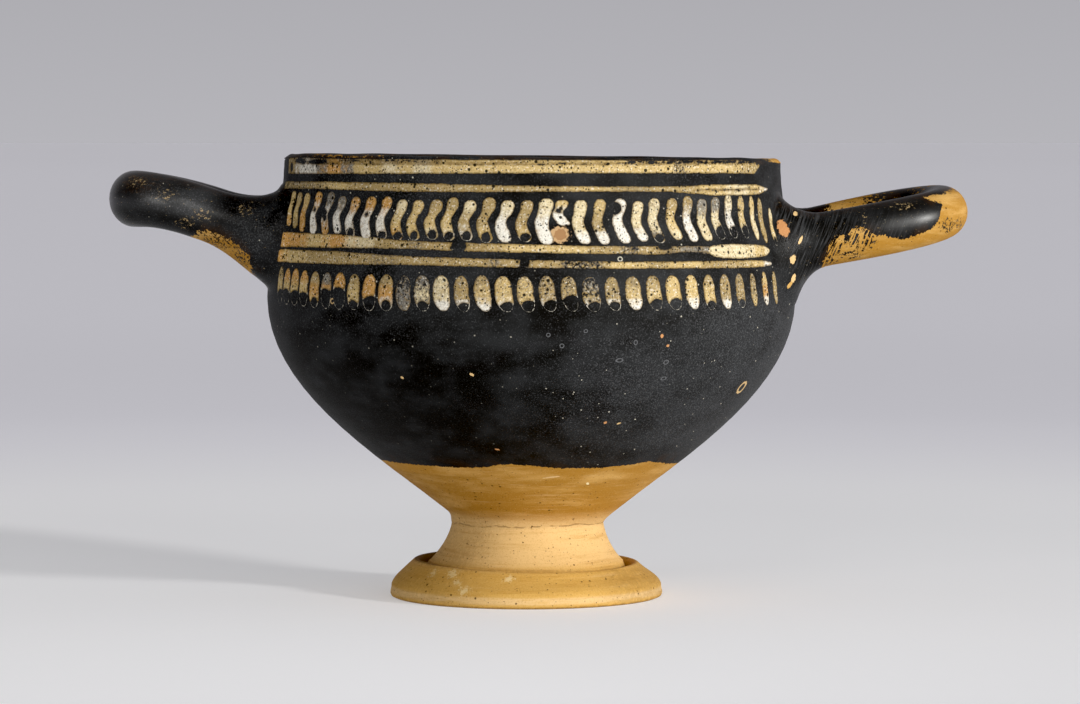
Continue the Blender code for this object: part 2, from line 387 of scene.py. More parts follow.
def vertex_places(thing):
    places = np.empty(len(thing.data.vertices) * 3)
    thing.data.vertices.foreach_get("co", places)
    return places.reshape(-1, 3) / MM


def set_places(thing, places):
    thing.data.vertices.foreach_set("co", (places * MM).ravel())
    thing.data.update()


def lute(body, handle):
    """Joins a coil to the body and smooths the clay over the joint."""
    coil = handle.build()
    joint = body.modifiers.new("joint", "BOOLEAN")
    joint.operation = "UNION"
    joint.solver = "EXACT"
    joint.object = coil
    bpy.context.view_layer.objects.active = body
    bpy.ops.object.modifier_apply(modifier=joint.name)
    bpy.data.objects.remove(coil, do_unlink=True)

    places = vertex_places(body)
    near = np.flatnonzero((places[:, 0] - BOWL_X) * handle.side > SIDE_FIELD)
    to_coil, _ = handle.around(places[near])
    to_wall = off_the_wall(places[near])
    outside = np.abs(np.minimum(to_coil, to_wall)) < 0.6
    moved = near[outside & (np.maximum(to_coil, to_wall) < handle.fillet + 1.5)]
    edges = np.empty(len(body.data.edges) * 2, int)
    body.data.edges.foreach_get("vertices", edges)
    edges = edges.reshape(-1, 2)
    wanted = np.zeros(len(places), bool)
    wanted[moved] = True
    edges = edges[wanted[edges].any(axis=1)]

    def skin(points):
        to_coil, section = handle.around(points)
        reach = handle.fillet * (1 - handle.fuller_below * np.clip(section, -1, 1))
        return run_together(off_the_wall(points), to_coil, reach)

    for _ in range(SMOOTHINGS):
        total = np.zeros_like(places)
        count = np.zeros(len(places))
        for a, b in ((0, 1), (1, 0)):
            np.add.at(total, edges[:, a], places[edges[:, b]])
            np.add.at(count, edges[:, a], 1)
        mean = total[moved] / np.maximum(count[moved], 1)[:, None]
        places[moved] += 0.5 * (mean - places[moved])
        here = places[moved]
        height = skin(here)
        slope = np.stack([skin(here + step) - height for step in np.eye(3) * 0.05], axis=1) / 0.05
        places[moved] = here - slope * (height / np.maximum((slope**2).sum(axis=1), 0.2))[:, None]
    set_places(body, places)


ROUND_FOOT_FILL = 0.9               # in front the trough of the foot is nearly filled
FOOT_DIG = 0.35                     # elsewhere it was cut a little deeper
FOOT_SPREAD = 0.022                 # share by which the foot's lowest edge is wider than turned
TOP_DROP = 0.55                     # the foot's top was pared down by this
FRONT_TOP_DROP = 0.45               # and by this more in front
WHEEL_RIDGE = 0.035                 # height of the throwing ridges on the outer wall
UNEVEN = 0.10                       # and of the slow bulges between them
THROWN_RIDGE = 0.10                 # height of the fingers' ridges inside
FLOOR_RIDGE = 0.12                  # and of the spiral on the floor
RIGHT_BULGE = 0.35                  # the wall stands out this far over the right handle
LEFT_DENT = 0.45                    # and the lip leans in this far at the left
KNOCK_DEPTH = 0.16                  # small knocks all round the lip
LEFT_SAG = 0.7                      # the outer edge of the lip is lower at the left


def near_coils(points):
    """Distance to the nearer coil, and the height on its section, where near."""
    gap = np.full(len(points), 99.0)
    height = np.full(len(points), 0.0)
    for handle in HANDLES:
        near = np.flatnonzero((points[:, 0] - BOWL_X) * handle.side > SIDE_FIELD)
        gap[near], height[near] = handle.around(points[near])
    return gap, height


def shape_foot(places, angle):
    """The foot's spread edge, its uneven trough and its pared top."""
    x, y, z = places.T
    reach = np.hypot(x - FOOT_X, y)
    spread = 1 + FOOT_SPREAD * (reach > RING_OUTER - 0.5) * rise(z, 2.2, 0)
    x[:] = FOOT_X + (x - FOOT_X) * spread
    y *= spread
    level = z + FOOT_EDGE_DROP * (x - FOOT_X) / EDGE_RADIUS
    in_trough = (reach > STEM_BASE_RADIUS) & (reach < EDGE_RADIUS)
    in_trough = in_trough & (level > TROUGH_Z - 0.6) & (level < EDGE_Z + 0.6)
    brim = np.interp(reach, (STEM_BASE_RADIUS, EDGE_RADIUS), (STEM_BASE_Z, EDGE_Z))
    fill = (ROUND_FOOT_FILL + FOOT_DIG) * bump(angle, 4, 72) - FOOT_DIG
    z += in_trough * fill * np.maximum(brim - level, 0)
    top = rise(z, 2.4, 6.4) * rise(reach, 19.5, 20.8) * (level < EDGE_Z + 1)
    z -= top * (TOP_DROP + FRONT_TOP_DROP * bump(angle, 4, 75))


def wheel_marks(body):
    """Throwing marks, slight unevenness of the wall, the lip's knocks and the foot."""
    places = vertex_places(body)
    radius, z, angle = unstrayed(places)
    out = off_the_wall(places)
    turn = np.radians(angle)
    coil_gap, _ = near_coils(places)

    outer = (np.abs(out) < 0.5) & (z > SLOPE_Z) & (z < HEIGHT - LIP_RISE + 0.1)
    free = rise(coil_gap, 0.5, 5) * rise(z, SLOPE_Z, SLOPE_Z + 6)
    wheel = 0.5 + 0.5 * np.sin(z * 2.2 + 1.3 * np.sin(z / 6) + 0.5 * np.sin(turn + 1))
    uneven = 0.5 + 0.5 * np.sin(2 * turn + 0.7) * np.sin(z / 17 + turn)
    inward = SLIP_DEPTH + WHEEL_RIDGE * wheel + UNEVEN * uneven * rise(z, 22, 34)
    lip = rise(z, 86.4, 88)
    inward = inward - RIGHT_BULGE * bump(angle, 90, 45) * rise(z, 74, 80)
    inward = inward + LEFT_DENT * bump(angle, -90, 40) * lip
    scale = 1 - outer * free * inward / np.maximum(radius, 1)

    knocks = 0.5 + 0.5 * np.sin(5 * turn + 0.6) * np.sin(13 * turn + 2 * np.sin(3 * turn))
    sag = LEFT_SAG * bump(angle, -88, 28) * rise(radius, 47.4, 49.3)
    places[:, 2] -= lip * (KNOCK_DEPTH * knocks + sag)
    inner = (out < -1.5) & (z > FLOOR_Z - 2)
    thrown = np.sin(z * 1.55 + 0.7 * turn) * rise(z, 32, 44) * rise(z, 84, 76)
    scale = scale + inner * THROWN_RIDGE * thrown / np.maximum(radius, 1)
    places[:, :2] = (BOWL_X, 0) + (places[:, :2] - (BOWL_X, 0)) * scale[:, None]
    floor_mark = np.sin(radius * 1.7 - turn) * bump(radius, 16, 16)
    places[:, 2] += inner * FLOOR_RIDGE * floor_mark * rise(z, 40, 30)
    shape_foot(places, angle)
    set_places(body, places)


# Where the slip ends at the foot of the bowl: angle, height
SLIP_FOOT = ((-180, 27.5), (-120, 27.9), (-90, 27.3), (-70, 27.8), (-40, 27.8), (-27, 27.7),
             (-17.5, 27.9), (-10.5, 28.7), (-1.6, 28.5), (10, 27.8), (27, 27.7), (37, 28.0),
             (46, 28.5), (63, 27.45), (90, 26.6), (125, 27.6), (150, 28.3), (180, 27.5))
# The clay left bare under each handle reaches up to here: x, z
LEFT_BARE = ((-71.0, 70.5), (-66.2, 73.4), (-61.6, 72.4), (-59.0, 70.7), (-56.4, 68.4), (-56.1, 65.2))
RIGHT_BARE = ((55.8, 67.3), (57.8, 72.3), (59.6, 72.3), (61.9, 74.0), (65.1, 74.3), (65.6, 72.5),
              (67.7, 72.5), (71.0, 71.7), (74.0, 72.3), (76.5, 73.3), (78.2, 74.5), (79.0, 76.0),
              (79.4, 78.0), (80.2, 80.3), (82.3, 81.5), (90.0, 81.5))
# A strip of it runs back over the tip of the right handle: place, half sizes
RIGHT_TIP_BARE = (((79.6, -10, 79.7), (3.4, 8, 0.75)),)
# Slip brushed thinly over the bare patches, and spotted over them: place, half sizes
BRUSHED = (((62.8, -16, 72.4), (3.2, 9, 2.8)), ((57.2, -16, 69.4), (1.9, 9, 3.0)))
SPOTTED = (((61.2, -16, 68.7), (2.8, 9, 1.0)), ((80.9, -12, 74.3), (1.9, 9, 1.7)),
           ((83.4, -9, 74.6), (1.2, 9, 1.4)), ((-61.8, -16, 71.7), (5.2, 9, 2.1)),
           ((-58.0, -16, 68.6), (2.2, 9, 2.8)))
# Where the black of the handles is scratched most
SCRATCHED = (((-79.4, -12, 83.0), (3.4, 9, 1.5)), ((-69.3, -16, 74.9), (2.2, 9, 1.3)),
             ((-57.4, -16, 77.6), (2.5, 9, 1.7)), ((-66.0, -16, 76.6), (2.6, 9, 1.8)),
             ((-73.5, -16, 80.5), (3.0, 9, 1.4)), ((64.0, -16, 75.6), (1.2, 9, 1.1)),
             ((71.5, -12, 78.2), (3.0, 9, 1.0)))
# Where fingers have polished the black of the handles most; the grey specks laid on the left handle's
# spots are painted sheen
POLISHED = (((-75.2, -14, 79.0), (3.6, 9, 3.4)), ((-68.7, -16, 77.6), (3.4, 9, 3.2)),
            ((70.6, -16, 75.2), (2.8, 9, 2.4)), ((75.7, -14, 75.6), (2.6, 9, 2.4)))
INSIDE_DUST = 0.5                   # share of pale dust on the black inside the bowl


def inside(points, ovals):
    """How far each point is inside the nearest oval: 1 in its middle, 0 on its edge."""
    depths = [1 - np.linalg.norm((points - place) / size, axis=1) for place, size in ovals]
    return np.max(depths, axis=0)


def over_line(points, line):
    """Height of each point above a line drawn across the side of the cup."""
    return points[:, 2] - along(line, points[:, 0])


def wall_dust_and_sheen(angle, z):
    """How thickly pale specks sit on the black, 0 to 1: real dust all round, and over the right of the
    belly and the left shoulder also painted sheen where the light falls.
    """
    thick = np.exp(-((angle - 28) / 27)**2 - ((z - 44) / 17)**2)
    right = rise(angle, 15, 42) * rise(angle, 120, 95) * rise(z, 24, 34)
    thick = np.maximum(thick, right * (1 - 0.75 * rise(z, 57, 66)))
    left = rise(angle, 8, -30)
    shoulder = 0.15 * rise(z, 56, 66) + 0.30 * rise(z, 46, 58) * left
    back = 0.3 * rise(np.abs(angle), 80, 120)
    return np.clip(0.12 + 0.62 * thick + shoulder + back, 0, 1)


def set_field(thing, name, values):
    field = thing.data.attributes.new(name, "FLOAT", "POINT")
    field.data.foreach_set("value", np.asarray(values, float))


def slip_left(places, z, angle, inner, coil_gap, on_coil):
    """Distance inside the slip's edge, negative on bare clay, and how ragged the edge is."""
    x, y, height = places.T
    black = np.where(inner, 3, height - along(SLIP_FOOT, angle))
    lip = rise(z, 86.3, 87.5)
    lip_wear = 2.55 + 1.6 * bump(angle, 88, 24) + 0.35 * bump(angle, -50, 30)
    black = np.where(z > 80, 3 - lip_wear * lip, black)

    left = (x < -45) & (coil_gap < 6)
    bare_left = np.maximum(over_line(places, LEFT_BARE), x + 56.2)
    black = np.where(left, np.minimum(black, bare_left), black)
    right = (x > 45) & (coil_gap < 6)
    bare_right = over_line(places, RIGHT_BARE) * (1 - 0.65 * rise(x, 77.5, 78.8))
    bare_right = np.maximum(bare_right, 55.8 - x)
    far_top = -0.42 + 1.0 * rise(x, 63, 72) - 0.35 * rise(x, 73, 79) + 3 * rise(x, 60, 54)
    bared = np.where(y > 3, far_top, -1.2 * inside(places, RIGHT_TIP_BARE))
    black = np.where(right, np.minimum(black, np.minimum(bare_right, bared)), black)
    rag = 0.22 + 0.3 * lip + on_coil * (0.15 + 0.5 * (right & (y > 3)) + 0.6 * left)
    return black, rag


def soil_and_shade_on(places, angle):
    """How dark the clay is made: earth and painted shade in the foot's trough, earth in its seam, a
    painted contact shadow round its lowest edge, and darker patches on the bare clay.
    """
    x, y, height = places.T
    reach = np.hypot(x - FOOT_X, y)
    in_trough = rise(reach, 19.3, 20.0) * rise(reach, 22.62, 22.42)
    in_trough = in_trough * (height < EDGE_Z + 0.4) * (height > 3)
    # The trough darkens away from the front, most at the left: earth, and painted shade in that recess
    trough = in_trough * (1 - bump(angle, 4, 70)) * (1 - 0.6 * rise(angle, 0, 60))
    seam = 0.45 * bump(reach, 20.0, 0.7) * (height < EDGE_Z) * (height > 3)
    # Painted contact shadow on the lowest part of the foot, where it stands on the table
    ring = 0.75 * rise(height, 0.7, 0.1)
    # Painted shade low on the left side of the clay; darker too on the bare clay under the left handle
    # and low at the right of the foot
    shade_and_darkening = 0.24 * rise(angle, -5, -45) * (height < 26) + 0.28 * (x < -54)
    shade_and_darkening = shade_and_darkening + 0.38 * rise(angle, 22, 52) * (height < 6.5)
    return np.max([trough, seam, ring, shade_and_darkening], axis=0)


def mark_wear(body):
    """Fields the finish is mixed from, lengths in millimetres."""
    places = vertex_places(body)
    _, z, angle = unstrayed(places)
    x, y, height = places.T
    coil_gap, section = near_coils(places)
    on_coil = rise(coil_gap, 2.5, 0.3)
    inner = (off_the_wall(places) < -1.5) & (z > FLOOR_Z - 2)

    black, rag = slip_left(places, z, angle, inner, coil_gap, on_coil)

    tip = np.exp(-((x + 79.5) / 4)**2 - ((height - 83) / 2)**2)
    ridge = on_coil * rise(section, 0.72, 0.98) * 0.45
    lip_rub = 0.5 * rise(z, 86.3, 87.5) * bump(angle, -55, 30)
    rub = np.clip(tip + ridge + lip_rub, 0, 1)
    brush = (x > 40) * (y < 6) * on_coil * rise(x, 66, 58)
    brush = np.maximum(brush, 0.8 * bump(angle, 74, 9) * bump(z, 71, 10))
    dust_and_sheen = np.where(inner, INSIDE_DUST, wall_dust_and_sheen(angle, z))
    dust_and_sheen = dust_and_sheen * (1 - np.where(x > 0, 0.7, 0.5) * on_coil)
    shined = rise(inside(places, POLISHED), -0.6, 0.8)
    # A little dust over the left handle's upper side, and painted sheen on its polished spots
    dust_and_sheen = dust_and_sheen + on_coil * (x < 0) * (0.08 + 0.42 * shined) * rise(section, -0.4, 0.1)
    dust_and_sheen = dust_and_sheen + np.where(inner, 0, 0.42 * bump(x, -55.5, 8.5) * bump(z, 72, 9))

    shine = np.where(x < 0, 0.55, 0.25) * rise(np.abs(x), 58, 66) + 0.45 * shined
    for name, values in (("black", black), ("rag", rag), ("rub", rub), ("brush", brush),
                         ("dust_and_sheen", dust_and_sheen), ("coil", on_coil), ("soil_and_shade", soil_and_shade_on(places, angle)),
                         ("brushed", inside(places, BRUSHED)), ("spotted", inside(places, SPOTTED)),
                         ("scratched", inside(places, SCRATCHED)),
                         ("polish", np.minimum(on_coil * rise(section, -0.5, 0.0) * shine, 1))):
        set_field(body, name, np.clip(values, -3, 3))


vessel = turned_body()
for handle in HANDLES:
    lute(vessel, handle)
wheel_marks(vessel)
mark_wear(vessel)
vessel.data.shade_smooth()
cup_skin = BVHTree.FromObject(vessel, bpy.context.evaluated_depsgraph_get())


def paint(red, green, blue):
    """A colour given from 0 to 255 as it looks, for use in a finish."""
    parts = [c / 255 for c in (red, green, blue)]
    return tuple(p / 12.92 if p < 0.04045 else ((p + 0.055) / 1.055)**2.4 for p in parts) + (1.0,)


POLISH_ROUGH = 0.37                 # where hands have polished the black


class Value:
    """A number or colour that changes from place to place, made by one of the steps."""

    def __init__(self, steps, socket):
        self.steps = steps
        self.socket = socket

    def __add__(self, other):
        return self.steps.calc("ADD", self, other)

    def __mul__(self, other):
        return self.steps.calc("MULTIPLY", self, other)

    def __sub__(self, other):
        return self.steps.calc("SUBTRACT", self, other)

    def __rsub__(self, other):
        return self.steps.calc("SUBTRACT", other, self)

    def __abs__(self):
        return self.steps.calc("ABSOLUTE", self)

    def least(self, other):
        return self.steps.calc("MINIMUM", self, other)

    def most(self, other):
        return self.steps.calc("MAXIMUM", self, other)

    def between(self, low, high):
        """0 at low, 1 at high, smooth between; high may be the smaller."""
        feeds = {"Value": self, "From Min": low, "From Max": high}
        return self.steps.step("MapRange", "Result", feeds, interpolation_type="SMOOTHSTEP")

    def tinted(self, share, colour):
        """This colour where share is 0, the other where it is 1."""
        return self.steps.mixed(share, self, colour)


class Steps:
    """A finish, or the light of the surround, built up step by step."""

    def __init__(self, owner, seen_at):
        owner.use_nodes = True
        self.tree = owner.node_tree
        self.place = self.step("TexCoord", seen_at)

    def feed(self, socket, value):
        if isinstance(value, Value):
            self.tree.links.new(value.socket, socket)
        else:
            socket.default_value = value

    def step(self, kind, output, feeds=(), **settings):
        """A new step with these settings and inputs; gives the named output."""
        node = self.tree.nodes.new("ShaderNode" + kind)
        for name, setting in settings.items():
            setattr(node, name, setting)
        for name, value in dict(feeds).items():
            self.feed(node.inputs[name], value)
        return Value(self, node.outputs[output])

    def calc(self, operation, *values):
        return self.step("Math", 0, dict(enumerate(values)), operation=operation)

    def part(self, axis):
        """The place along one axis."""
        return self.step("SeparateXYZ", axis, {0: self.place})


class Finish(Steps):
    """A finish of the cup or the table; every length in it is in millimetres."""

    def __init__(self, name):
        self.material = bpy.data.materials.new(name)
        super().__init__(self.material, "Object")
        self.shader = self.tree.nodes["Principled BSDF"]
        self.place = self.stretched((1 / MM,) * 3)

    def stretched(self, by, shift=0.0):
        feeds = {0: self.place, 1: by, 2: (shift,) * 3}
        return self.step("VectorMath", 0, feeds, operation="MULTIPLY_ADD")

    def noise(self, places, size, detail, rough=0.5):
        return self.step("TexNoise", "Fac", {"Vector": places, "Scale": 1 / size,
                                             "Detail": detail, "Roughness": rough})

    def mottle(self, size, by=(1, 1, 1), detail=2.0, rough=0.55, shift=0.0):
        """Noise of this size, about 0.3 to 0.7."""
        return self.noise(self.stretched(by, shift), size, detail, rough)

    def slanted(self, size, lean=-0.4, draw=0.07):
        """Fine brush lines that run up the cup and lean to the right."""
        across = self.step("VectorMath", "Value", {0: self.place, 1: (1, 0, lean)},
                           operation="DOT_PRODUCT")
        line = self.step("CombineXYZ", 0, {0: across, 1: self.part(1) * draw, 2: self.part(2) * draw})
        return self.noise(line, size, 3.0)

    def dots(self, spacing, radius, soft=0.06, shift=0.0):
        """Scattered round spots of uneven size."""
        feeds = {"Vector": self.stretched((1, 1, 1), shift), "Scale": 1 / spacing}
        away = self.step("TexVoronoi", "Distance", feeds)
        chance = self.step("SeparateColor", 0, {0: Value(self, away.socket.node.outputs["Color"])})
        return (away * spacing - chance * radius).between(soft, -soft)

    def mixed(self, share, a, b):
        """Colour a where share is 0, b where it is 1."""
        return self.step("Mix", 2, {0: share, 6: a, 7: b}, data_type="RGBA")

    def blend(self, share, a, b):
        """Number a where share is 0, b where it is 1."""
        return self.step("Mix", 0, {0: share, 2: a, 3: b})

    def field(self, name, output="Fac"):
        return self.step("Attribute", output, attribute_name=name)

    def oval(self, place, size, tilt=0):
        """Distance from a place, in steps of a tilted oval's half sizes."""
        feeds = {"Vector": self.place, "Location": place, "Scale": size,
                 "Rotation": (0, math.radians(tilt), 0)}
        local = self.step("Mapping", 0, feeds, vector_type="TEXTURE")
        return self.step("VectorMath", "Value", {0: local}, operation="LENGTH")

    def complete(self, colour, rough, relief, gloss, polish=0.0):
        """Feeds the shader; relief is in millimetres, gloss the strength of reflections."""
        lump = self.step("Bump", 0, {"Strength": 1.0, "Distance": MM, "Height": relief})
        for name, value in (("Coat Weight", polish), ("Coat Roughness", POLISH_ROUGH),
                            ("Base Color", colour), ("Roughness", rough),
                            ("Specular IOR Level", gloss), ("Normal", lump)):
            self.feed(self.shader.inputs[name], value)
        return self.material


BLACK = paint(17, 16, 14)
BLACK_GREY = paint(46, 47, 48)
BLACK_BROWN = paint(62, 42, 24)
SPECK_GREY = paint(104, 105, 107)
SPECK_PALE = paint(214, 208, 190)
GLOSS = 0.09


def black_slip(finish, brush=0.0):
    """Colour, roughness and relief of the black: wheel sheen, pits, grey and pale specks."""
    dust_and_sheen = finish.field("dust_and_sheen")
    wheel = finish.mottle(0.5, (0.05, 0.05, 1), 3)
    cloud = finish.mottle(9, (1, 1, 1.6), 3)
    grain = finish.mottle(0.28, detail=2)
    fine = finish.mottle(0.12, detail=1)
    # Greying and pale specks come from real dust, and from painted sheen on the lit right of the
    # belly, the left shoulder and the left handle's polished spots
    greyed = (cloud + dust_and_sheen * 0.35).between(0.45, 0.85) * 0.8
    colour = finish.mixed(greyed, BLACK, BLACK_GREY)
    dusty = (finish.mottle(0.30, detail=3, rough=0.75, shift=9) + dust_and_sheen * 0.20).between(0.60, 0.80)
    colour = colour.tinted(dusty * 0.4, SPECK_GREY)
    specks = finish.dots(1.7, 0.17, 0.05) * dust_and_sheen.between(0.0, 0.6)
    colour = colour.tinted(specks * 0.8, SPECK_PALE)
    small = finish.dots(0.62, 0.13, 0.05, shift=31) * dust_and_sheen.between(0.05, 0.8)
    colour = colour.tinted(small * 0.6, SPECK_GREY)
    drawn = finish.slanted(0.30).between(0.45, 0.72) * brush
    colour = colour.tinted(drawn * 0.30, SPECK_GREY)
    rough = grain * 0.22 + cloud * 0.12 + 0.40 + finish.field("coil") * -0.24
    relief = grain * 0.035 + fine * 0.012 + wheel * 0.02 + drawn * 0.03 + specks * 0.03
    return colour, rough, relief


CLAY_DEEP = paint(172, 126, 52)
CLAY = paint(202, 160, 92)
CLAY_PALE = paint(218, 184, 130)
CLAY_FOOT = paint(202, 160, 86)
CLAY_DARK = paint(92, 66, 30)
CLAY_FRESH = paint(194, 140, 92)
CLAY_WORN = paint(170, 146, 104)
LIME = paint(240, 226, 180)
CREASE_Z = 15.0
# Spots of lime on the foot: place and size
LIME_SPOTS = ((-16.8, -18.2, 5.9, 2.0), (-14.5, -23.4, 3.1, 1.8), (-20.4, -15.1, 5.6, 1.6),
              (-5.8, -23.4, 5.5, 1.5), (-15.8, -21.0, 4.6, 1.3))


def bare_clay(finish):
    """Colour, roughness and relief of the bare ochre clay, wiped smooth on the wheel."""
    height = finish.part(2)
    cloud = finish.mottle(5, (0.35, 0.35, 1.8), 4, 0.6, shift=3)
    wiped = finish.mottle(0.8, (0.05, 0.05, 1), 5, 0.7, shift=7)
    grain = finish.mottle(0.30, detail=3, rough=0.7)
    # The stem is made paler, partly a painted highlight where it catches the light; so is a band round
    # the foot's lowest edge, a pale bead with a painted highlight
    stem = height.between(18.5, 15.4) * height.between(6, 8.4)
    ridge = abs(height - 1.5).between(1.0, 0.3)
    pale = stem * 0.75 + ridge * wiped.between(0.34, 0.5) * 0.95
    colour = finish.mixed(cloud.between(0.42, 0.70), CLAY_DEEP, CLAY)
    colour = colour.tinted(height.between(16, 12), CLAY_FOOT)
    colour = colour.tinted(pale, CLAY_PALE)
    colour = colour.tinted(wiped.between(0.48, 0.70) * 0.45, CLAY_DEEP)
    colour = colour.tinted(wiped.between(0.44, 0.28) * 0.35, CLAY_PALE)
    colour = colour.tinted(grain.between(0.50, 0.72) * 0.45, CLAY_DEEP)
    colour = colour.tinted(grain.between(0.46, 0.30) * 0.30, CLAY_PALE)
    for x, y, z, size in LIME_SPOTS:
        spread = finish.oval((x, y, z), (size, size, size * 0.8))
        spread = spread + finish.mottle(0.7, detail=4, rough=0.75, shift=61) * 3.2
        colour = colour.tinted(spread.between(2.45, 1.85) * 0.45, LIME)
    wavy = (finish.mottle(5, detail=3, shift=19) - 0.5) * 1.6
    crease = abs(height + wavy - CREASE_Z).between(0.22, 0.04)
    crease = crease * finish.mottle(1.4, detail=3, shift=29).between(0.36, 0.56)
    colour = colour.tinted(crease * 0.4, CLAY_DARK)
    # Earth and painted shade from the foot and the left side, laid in the dark clay colour
    soil_and_shade = finish.field("soil_and_shade")
    soiled_and_shaded = soil_and_shade * finish.mottle(0.8, detail=4, shift=43).between(0.15, 0.6)
    soiled_and_shaded = soiled_and_shaded.most(soil_and_shade.between(0.5, 0.9))
    colour = colour.tinted(soiled_and_shaded * 0.85, CLAY_DARK)
    pits = finish.dots(1.6, 0.24, 0.04, shift=17).most(finish.dots(0.7, 0.13, 0.04, shift=37) * 0.8)
    colour = colour.tinted(pits * 0.85, CLAY_DARK)
    rough = grain * 0.15 + 0.62
    relief = grain * 0.05 + wiped * 0.08 + pits * -0.10 + cloud * 0.05 + crease * -0.10
    return colour, rough, relief


def on_bowl(angle, z):
    """A place on the bowl's outer face."""
    a = math.radians(angle)
    radius = float(wall_radius(z)) - SLIP_DEPTH
    return (BOWL_X + radius * math.sin(a), -radius * math.cos(a), z)


def in_front(x, z):
    """The place on the cup's front at this x and height."""
    hit, _, _, _ = cup_skin.ray_cast(Vector((x, -80, z)) * MM, Vector((0, 1, 0)))
    return tuple(hit / MM)


# Flakes that bare the clay: place, half sizes, tilt in degrees, clay colour showing
FLAKES = (
    (on_bowl(6.1, 73.45), (1.85, 1.6, 1.6), 0, paint(190, 156, 114)),
    (on_bowl(6.1, 73.45), (1.2, 1.2, 1.0), 0, paint(160, 122, 84)),
    (in_front(47.8, 74.0), (1.05, 2.4, 1.75), -22, CLAY_FRESH),
    (in_front(49.7, 67.9), (0.60, 2.0, 0.85), 8, CLAY_PALE),
    (in_front(49.9, 64.1), (0.45, 2.0, 0.95), 20, CLAY_PALE),
    (in_front(49.2, 62.9), (0.35, 2.0, 0.75), 35, CLAY),
    (in_front(51.2, 71.5), (0.28, 2.0, 0.95), 28, CLAY_PALE),
    (in_front(50.4, 76.75), (0.45, 2.0, 0.45), 0, CLAY_PALE),
    (on_bowl(-13.2, 46.9), (0.45, 0.4, 0.28), 35, CLAY_PALE),
    (on_bowl(-30.4, 46.0), (0.36, 0.4, 0.24), 35, CLAY_PALE),
    (on_bowl(-10.5, 31.8), (0.45, 0.4, 0.18), 10, CLAY_FRESH),
    (on_bowl(28.5, 54.1), (0.35, 0.4, 0.4), 0, CLAY_FRESH),
    (on_bowl(30.3, 52.2), (0.3, 0.4, 0.25), 0, CLAY_FRESH),
    (on_bowl(24.0, 37.0), (0.45, 0.4, 0.16), -15, CLAY_PALE),
    (on_bowl(20.0, 37.2), (0.3, 0.4, 0.35), 30, CLAY_FRESH),
    (in_front(2.6, 25.9), (1.7, 2.0, 0.16), -6, CLAY_PALE),
    (in_front(9.6, 24.3), (0.30, 2.0, 0.24), 20, LIME),
)
# Rings where a spall left a pale edge round a dark middle: place, half sizes, tilt, colour
RINGS = (
    (on_bowl(62.3, 42.9), (1.4, 1.4, 1.85), -28, CLAY_PALE),
    (on_bowl(-46.2, 60.4), (0.55, 0.6, 0.55), 0, CLAY_PALE),
    (on_bowl(-4.7, 61.8), (0.45, 0.5, 0.45), 0, SPECK_PALE),
    (on_bowl(18.9, 68.8), (0.5, 0.5, 0.45), 0, SPECK_PALE),
    (on_bowl(3.6, 54.6), (0.4, 0.5, 0.4), 0, SPECK_GREY),
    (on_bowl(6.5, 52.5), (0.45, 0.5, 0.45), 0, SPECK_GREY),
    (on_bowl(22.5, 53.0), (0.4, 0.5, 0.5), 0, SPECK_GREY),
    (on_bowl(19.4, 49.6), (0.8, 0.5, 0.4), 0, SPECK_GREY),
    (on_bowl(31.5, 45.8), (0.7, 0.5, 0.38), 0, SPECK_GREY),
    (on_bowl(30.8, 49.0), (0.6, 0.5, 0.5), 0, SPECK_GREY),
    (on_bowl(11.4, 55.3), (0.4, 0.5, 0.35), 0, SPECK_GREY),
)


